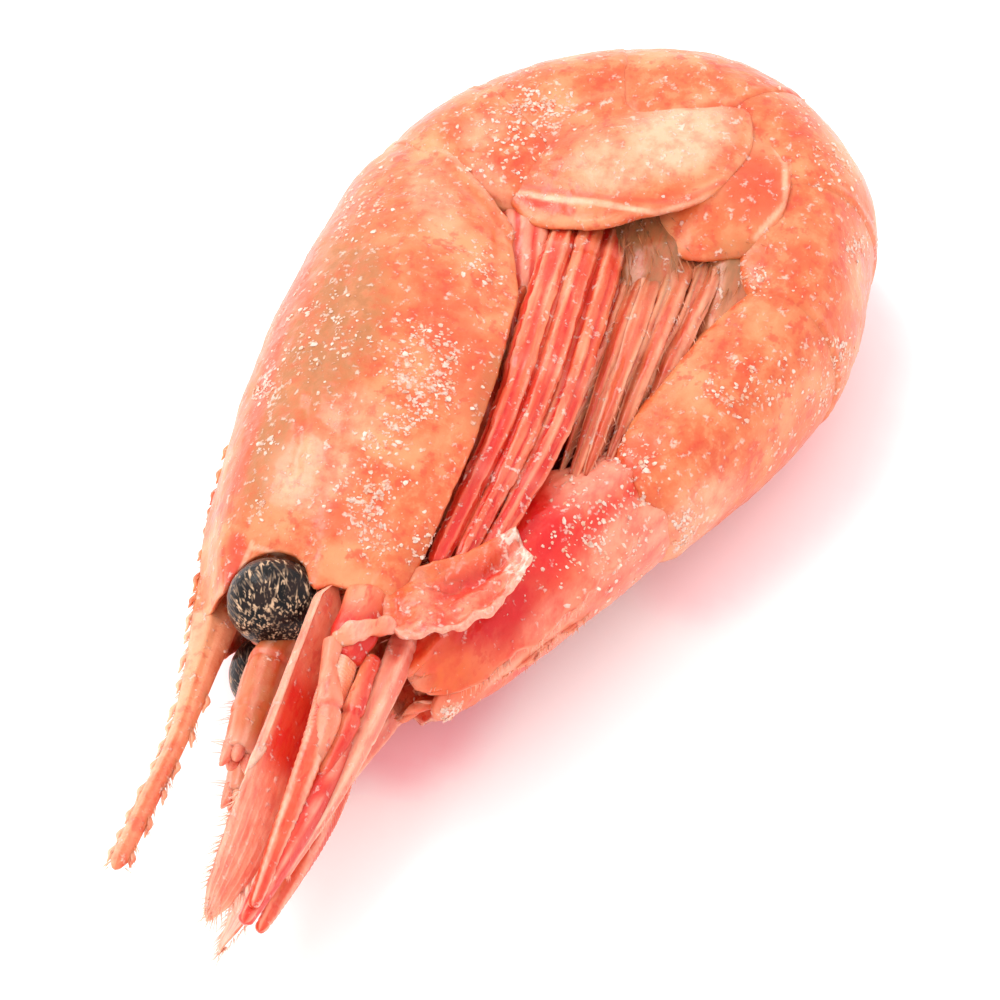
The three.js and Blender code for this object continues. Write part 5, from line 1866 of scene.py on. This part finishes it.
    def build(self, palette: Palette) -> None:
        """Builds and dresses the swimming legs."""
        for name, sign in LEFT_AND_RIGHT:
            for number, line in self.lines.items():
                points = [(x, y, sign * out) for x, y, out in line]
                stem = Limb(points, self.radii, flat=self.flat, tip=0.5)
                rows, shares, angle = stem.rows(
                    40, 120, lambda s, a: joints(s, (0.45,), 0.08, 0.03) + 0.05 * np.cos(3 * a + 2 * s) + 0.03 * np.sin(40 * s) * smooth(0.5, 0.3, s)
                )
                stripes = np.cos(5 * angle + 2 * shares)
                paint = {
                    Paint.BROWN: 0.95 * smooth(0.66, 0.36, shares) * (0.7 + 0.3 * stripes),
                    Paint.PALE: 0.4 * smooth(0.45, 0.7, shares) * smooth(0.0, 0.8, stripes),
                    Paint.DEEP: 0.4 * smooth(0.45, 0.7, shares) * smooth(0.0, -0.8, stripes),
                }
                pieces = [skin("stem", rows, paint)]
                for i, leaf in enumerate(self.leaves):
                    pieces += self._leaf(points, leaf, sign, 1.3 * i + 0.9 * number, self.gather[number] * (1 - 0.25 * i))
                if number in self.pads:
                    pad = Limb([(x, y, sign * out) for x, y, out in self.pads[number]], (1.0, 1.8, 1.7, 1.1), flat=0.45, tip=0.7)
                    rows, shares, angle = pad.rows(50, 80, lambda s, a: 0.05 * np.sin(30 * s + 2 * np.cos(2 * a)) + 0.03 * np.cos(7 * a))
                    pieces.append(skin("pad", rows, {Paint.BROWN: 1.0 - 0.5 * smooth(0.6, 1.0, shares) + 0 * angle}))
                    draw = np.random.default_rng(number)
                    places = draw.uniform(0.2, 0.85, 260)
                    middle, along, wide, deep = pad.frames(places)
                    turn = draw.uniform(0, 2 * math.pi, (len(places), 1))
                    outward = wide * np.cos(turn) + pad.flat * deep * np.sin(turn)
                    roots = middle + 0.95 * read_sizes(pad.radii, places * 3)[:, None] * outward
                    ways = along + 0.35 * outward + draw.normal(0, 0.2, roots.shape)
                    pieces.append(fringe("pad_bristles", roots, ways, draw.uniform(0.8, 2.2, len(places)), 0.05, Paint.BROWN))
                piece = join(f"swimming_leg_{number}_{name}", pieces)
                roughen(piece, 0.9, 0.14)
                roughen(piece, 0.35, 0.04)
                dress(piece, palette.swimmeret, [f"pleopod_{number}_{name}"])


@dataclass
class TailFan:
    """The middle blade and the four side blades of the tail fan, folded together."""

    tail: TailShell
    telson: Line = ((5.93, 1.4, 0), (6.35, 1.3, 0), (6.7, 1.05, 0), (6.97, 0.5, 0))
    telson_radii: Sequence[float] = (1.2, 1.2, 1.0, 0.4)
    outer: Line = ((5.94, 2.8, 2.2), (6.3, 3.15, 2.75), (6.65, 2.85, 2.45), (6.98, 1.9, 2.0))
    outer_radii: Sequence[float] = (1.5, 2.55, 2.6, 1.4)
    inner: Line = ((5.94, 3.0, 1.2), (6.3, 3.3, 1.35), (6.6, 3.1, 1.2), (6.9, 2.4, 0.9))
    inner_radii: Sequence[float] = (1.0, 1.6, 1.7, 1.0)
    skirt: float = 1.2  # how far the edge of an outer blade that lies by the back bends inwards

    def _points(self, line: Line, sign: float, push: float, sink: float) -> list[tuple[float, float, float]]:
        """A blade's line as the animal's own points."""
        made = []
        for s, depth, out in line:
            x, y, z = self.tail.inside(np.array(s), np.array(depth + sink * (1 - push)), np.array(sign * push * out))
            made.append((float(x), float(y), float(z) - MID))
        return made

    MARKS = (
        Mark(Paint.DEEP, (157, 621), (10, 15), 1.0, 35),
        Mark(Paint.DEEP, (149, 637), (13, 8), 1.0, -35),
        Mark(Paint.PALE, (182, 619), (22, 8), 0.6, -42),
        Mark(Paint.PALE, (165, 636), (16, 5), 0.4, -38),
        Mark(Paint.BROWN, (136, 653), (13, 9), 0.9, -35),
        Mark(Paint.BROWN, (172, 628), (12, 6), 0.5, -42),
        Stroke(Paint.PALE, ((166, 640), (150, 652), (140, 662)), 1.8, 0.8),
        Mark(Paint.PALE, (141, 660), (3, 3), 1.0),
        Mark(Paint.FROST, (141, 660), (3, 3), 0.6),
        Mark(Paint.PALE, (172, 605), (14, 8), 0.6, -42),
        Mark(Paint.FROST, (176, 612), (16, 10), 0.15, -42),
    )

    def _blade(self, name: str, points: Line, radii: Sequence[float], flat: float, sign: float) -> bpy.types.Object:
        """One side blade: thin, with a raised rib, fine ribs beside it, and a ragged pale edge with bristles."""
        limb = Limb(points, radii, flat=flat, tip=1.6)
        shares = np.linspace(0, 1, 150)
        middle, along, wide, deep = limb.frames(shares)
        half = read_sizes(radii, shares * (len(radii) - 1))
        half = half * np.sqrt(np.clip(1 - (1 - np.clip((1 - shares) / 0.08, 0.01, 1)) ** 2, 0, 1)) * (0.7 + 0.3 * smooth(0, 0.1, shares))
        half = half * (1 + 0.03 * np.sin(31 * shares) + 0.02 * np.sin(67 * shares))
        across = np.linspace(1, -1, 60)[None, :]
        s = shares[:, None]
        stripes = 0.6 * np.cos(17 * across + 3 * np.sin(5 * s)) + 0.4 * np.cos(31 * across - 2 * s)
        thick = 0.06 + 0.10 * (1 - np.abs(across) ** 2.5) + 0.10 * bump(0.12, 0.07, across) + 0.012 * stripes
        thick = thick * np.clip(half / 0.6, 0.1, 1)[:, None]
        face = sign * (1.0 if deep[40, 2] > 0 else -1.0)
        cup = 0.22 * (across**2 - 0.5) + 0.10 * np.sin(21 * s + 2 * across) * across**2
        surface = middle[:, None, :] + wide[:, None, :] * (half[:, None] * across)[..., None]
        surface = surface - deep[:, None, :] * (face * cup * np.clip(half / 0.6, 0, 1)[:, None])[..., None]
        to_back = np.subtract(*(self.tail.inside(np.array(6.4), np.array(d), np.array(0.0)) for d in (1.0, 2.0)))
        down = 1.0 if wide[75] @ to_back > 0 else -1.0
        skirt = smooth(0.0, 1.0, across * down) * np.clip(half / 0.6, 0, 1)[:, None] * (1.0 if "outer" in name else 0.3)
        surface = surface + wide[:, None, :] * (0.25 * down * half[:, None] * skirt)[..., None]
        surface = surface - deep[:, None, :] * (self.skirt * face * skirt)[..., None]
        ragged = 0.3 * np.sin(8 * across + len(name)) + 0.2 * np.sin(21 * across)
        surface = surface + along[:, None, :] * (ragged * smooth(0.85, 0.97, s) * (1 - across**2))[..., None]
        paint = {
            Paint.PALE: 0.7 * smooth(0.95, 0.995, np.abs(across)) + 0.4 * smooth(0.96, 1.0, s) + 0 * across,
            Paint.DEEP: 0.25 * smooth(0.2, -0.8, stripes) * smooth(0.9, 0.6, np.abs(across)),
        }
        draw = np.random.default_rng(len(name) + 7)
        count = 170
        k = draw.integers(60, 149, count)
        beside = np.where(k > 140, draw.uniform(-1, 1, count), np.sign(draw.normal(0, 1, count)))[:, None]
        column = np.round((1 - beside[:, 0]) / 2 * (across.size - 1)).astype(int)
        roots = surface[k, column]
        ways = along[k] + 0.7 * wide[k] * beside + draw.normal(0, 0.12, (count, 3))
        bristles = fringe("blade_bristles", roots, ways, draw.uniform(0.25, 0.6, count), 0.03)
        return join(name, [sheet(name, surface, thick, paint), bristles])

    def _finish(self, piece: bpy.types.Object, palette: Palette, node: str) -> None:
        """Roughens, marks and dresses one blade, keeping the paint that it has."""
        roughen(piece, 1.2, 0.14)
        roughen(piece, 0.35, 0.05)
        kept = {}
        for paint in Paint:
            layer = piece.data.attributes.get(paint.value)
            if layer:
                values = np.empty(len(piece.data.vertices))
                layer.data.foreach_get("value", values)
                kept[paint] = values
        paint_marks(piece, self.MARKS, kept)
        dress(piece, palette.fan, [node])

    def build(self, palette: Palette) -> list[bpy.types.Object]:
        """Builds and dresses the fan."""
        points = self._points(self.telson, 1.0, 1.0, 0.0)
        limb = Limb(points, self.telson_radii, flat=1.5, tip=0.7)
        rows, shares, angle = limb.rows(40, 110, lambda s, a: -0.10 * bump(0.0, 0.35, np.sin(a)) + 0.03 * np.cos(7 * a))
        made = [skin("fan_middle", rows, {Paint.PALE: 0.5 * smooth(0.85, 1.0, shares) + 0 * angle})]
        self._finish(made[0], palette, "telson")
        for side in SIDES:
            for name, line, radii, flat, sink in (
                ("outer", self.outer, self.outer_radii, 0.18, 1.0),
                ("inner", self.inner, self.inner_radii, 0.2, 0.0),
            ):
                points = self._points(line, side.sign, side.push, sink)
                piece = self._blade(f"fan_{name}_{side.name}", points, radii, flat, side.sign)
                self._finish(piece, palette, f"uropod_{name}_{side.name}")
                made.append(piece)
        return made


# Frost


@dataclass
class Frost:
    """Fine flakes of frost: lacy drifts in a few places and a thin scatter over everything."""

    seed: int = 11
    # Place in the camera's picture, spread, and how thickly the frost lies there
    drifts: Line = (
        (131, 575, 1.6, 9), (136, 577, 1.8, 12), (138.5, 582, 1.6, 10), (137.5, 588, 1.6, 12), (132, 591, 1.8, 10), (129, 584, 1.8, 12),
        (128, 595, 2.2, 12), (123, 600, 2.0, 12), (133, 584, 7.0, 1.2), (119, 612, 4.5, 2.5), (125, 608, 3.5, 2), (122, 620, 3.5, 4),
        (157, 521, 3.0, 6), (162, 523, 3.0, 4), (97, 588, 1.6, 7), (98, 600, 1.4, 5), (96, 614, 1.4, 6), (232, 555, 2.0, 6),
        (226, 580, 4.0, 1.2), (225, 590, 3.5, 1.5), (203, 590, 2.2, 5), (198, 588, 2.0, 4), (210, 586, 4.0, 1.5), (214, 602, 3.0, 1.5),
        (192, 617, 2.0, 7), (206, 563, 2.5, 4), (184, 606, 4.0, 1.2), (222, 520, 5.0, 0.4), (226, 535, 5.0, 0.4), (146, 560, 3.5, 1.2),
        (115, 545, 7.0, 0.5), (110, 575, 7.0, 0.5), (150, 530, 7.0, 0.8), (172, 620, 9.0, 0.6), (152, 626, 3.0, 5), (134, 622, 3.5, 3),
        (140, 660, 2.0, 9), (175, 600, 5.0, 0.6),
    )
    thin: float = 0.14
    drift_flakes: int = 4000
    stray_flakes: int = 2000
    sizes: tuple[float, float] = (0.03, 0.1)  # least and greatest radius of a flake in millimetres
    astray: float = 0.12  # how far a flake lies from the middle of the face that it is drawn on

    def build(self, palette: Palette, carriers: Sequence[bpy.types.Object]) -> None:
        """Builds and dresses the flakes.

        Args:
            palette: The materials.
            carriers: The pieces that the flakes lie on.
        """
        draw = np.random.default_rng(self.seed)
        centres, normals, areas = (np.concatenate(part) for part in zip(*(self._faces(piece) for piece in carriers)))
        own = Table.own(centres)
        spots = picture(own)
        u, v = spots.T
        waves = np.zeros(len(own))
        for turn, speed, phase in zip(draw.uniform(0, math.pi, 11), draw.uniform(0.35, 1.3, 11), draw.uniform(0, 6.28, 11)):
            waves += np.sin(speed * (u * math.cos(turn) + v * math.sin(turn)) + phase)
        lace = np.exp(-((waves / 0.8) ** 2)) + 0.05
        thick = sum(amount * np.exp(-(((u - cu) ** 2 + (v - cv) ** 2) / spread**2)) for cu, cv, spread, amount in self.drifts)
        seen = smooth(0.1, 0.4, normals @ np.array(TOWARDS_CAMERA)) * smooth(-1.5, 0.0, own[:, 2])
        clear = smooth(0.4 * MM, 0.8 * MM, centres[:, 2]) * areas
        drift = thick * seen * lace * clear
        stray = self.thin * (0.15 + lace) * clear
        index = np.concatenate([
            draw.choice(len(areas), size=count, replace=False, p=odds / odds.sum())
            for count, odds in ((self.drift_flakes, drift), (self.stray_flakes, stray))
        ])
        least, greatest = self.sizes
        size = least + (greatest - least) * draw.uniform(0, 1, len(index)) ** 1.6
        size[self.drift_flakes:] *= 0.6
        stretch = draw.uniform(0.6, 1.9, (len(index), 3)) * np.array([1.0, 1.0, 0.5])
        frames = stand_on(normals[index], draw.uniform(0, 2 * math.pi, len(index)))
        astray = draw.normal(0, self.astray * MM, (len(index), 2))
        spots = centres[index] + frames[:, :, 0] * astray[:, :1] + frames[:, :, 1] * astray[:, 1:]
        frames = frames * (size[:, None] * stretch)[:, None, :]
        start_alone()
        bpy.ops.mesh.primitive_ico_sphere_add(subdivisions=1, radius=MM)
        flake = bpy.context.object
        bpy.ops.object.mode_set(mode="EDIT")
        bpy.ops.mesh.select_all(action="SELECT")
        bpy.ops.transform.vertex_random(offset=0.45 * MM, seed=3)
        bpy.ops.object.mode_set(mode="OBJECT")
        piece = scatter("frost_crumbs", flake, spots, frames)
        dress(piece, palette.ice)

    @staticmethod
    def _faces(piece: bpy.types.Object) -> tuple[Array, Array, Array]:
        """The centres, normals and areas of a piece's faces."""
        polygons = piece.data.polygons
        centres, normals, areas = np.empty(3 * len(polygons)), np.empty(3 * len(polygons)), np.empty(len(polygons))
        polygons.foreach_get("center", centres)
        polygons.foreach_get("normal", normals)
        polygons.foreach_get("area", areas)
        return centres.reshape(-1, 3), normals.reshape(-1, 3), areas


class Studio:
    """The white table, the light and the camera."""

    target = Vector((0.00122, 0.00032, 0.00605))
    direction = Vector(TOWARDS_CAMERA)
    shade = (-0.0006, -0.0012)  # where the prawn's shade falls, in metres
    # how far the painted pink shade reaches from the prawn, in metres
    painted_shade_reach = 0.0034

    def floor(self, palette: Palette, prawn: Sequence[bpy.types.Object]) -> None:
        """A wide white table with painted shade: pinkish close to the prawn on its shaded side, as light coming through
        the shell would tint it.
        """
        start_alone()
        bpy.ops.mesh.primitive_grid_add(x_subdivisions=240, y_subdivisions=240, size=2.0)
        table = bpy.context.object
        table.name = "table"
        places = vertices_of(table)
        places[:, :2] = 0.018 * np.sinh(4.4 * places[:, :2])
        places[:, 2] = -0.00001
        move_vertices(table, places)
        # Painted shade on the table: pink near the prawn's low points, moved the way its shade falls, and stronger
        # towards the head end.
        low = np.concatenate([vertices_of(piece)[::9] for piece in prawn])
        low = low[low[:, 2] < (2.5 + 0.9 * smooth(0.0, 8.0, low[:, 0] / MM)) * MM] + np.array([*self.shade, 0.0])
        tree = KDTree(len(low))
        for i, (x, y, _) in enumerate(low):
            tree.insert((x, y, 0.0), i)
        tree.balance()
        near = np.hypot(places[:, 0], places[:, 1]) < 45 * MM
        glow = np.zeros(len(places))
        away = np.array([tree.find((x, y, 0.0))[2] for x, y, _ in places[near]])
        glow[near] = smooth(self.painted_shade_reach, 0.0, away) ** 1.5 * (0.5 + 0.5 * smooth(4 * MM, -3 * MM, places[near, 0]))
        layer = table.data.attributes.new("glow", "FLOAT", "POINT")
        layer.data.foreach_set("value", glow)
        table.data.materials.append(palette.floor)

    def light(self) -> None:
        """A white room and one broad soft light from beyond the prawn's back."""
        world = bpy.data.worlds.new("white_room")
        world.use_nodes = True
        world.node_tree.nodes["Background"].inputs["Color"].default_value = (1.0, 0.985, 0.98, 1.0)
        world.node_tree.nodes["Background"].inputs["Strength"].default_value = 1.45
        bpy.context.scene.world = world
        start_alone()
        bpy.ops.object.light_add(type="AREA", location=(0.14, 0.33, 0.42))
        key = bpy.context.object
        key.name = "key_light"
        key.data.energy = 1.5
        key.data.size = 0.26
        key.data.color = (1.0, 0.99, 0.97)
        aim = self.target - key.location
        key.rotation_euler = aim.to_track_quat("-Z", "Y").to_euler()

    def camera(self) -> None:
        """The camera at the photograph's angle."""
        start_alone()
        bpy.ops.object.camera_add(location=self.target + 0.49 * self.direction)
        camera = bpy.context.object
        camera.name = "camera"
        camera.data.lens = 400
        camera.data.sensor_width = 36
        camera.data.clip_start = 0.01
        camera.rotation_euler = (-self.direction).to_track_quat("-Z", "Y").to_euler()
        bpy.context.scene.camera = camera

    def build(self, palette: Palette, prawn: Sequence[bpy.types.Object]) -> None:
        """Sets up the studio around the prawn's large pieces."""
        self.floor(palette, prawn)
        self.light()
        self.camera()
        bpy.context.scene.view_settings.view_transform = "Standard"


def main() -> None:
    """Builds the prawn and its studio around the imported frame."""
    logging.basicConfig(level=logging.INFO, format="%(name)s: %(message)s")
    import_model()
    Table.find()
    palette = Palette()
    head = HeadShell().build(palette)
    tail = TailShell()
    segments = tail.build(palette)
    Eyes().build(palette)
    Feelers().build(palette)
    MouthPlates().build(palette)
    Legs().build(palette)
    SwimmingLegs().build(palette)
    fan = TailFan(tail).build(palette)
    Frost().build(palette, [head, *segments, *fan])
    Studio().build(palette, [head, *segments, *fan])


if __name__ == "__main__":
    main()
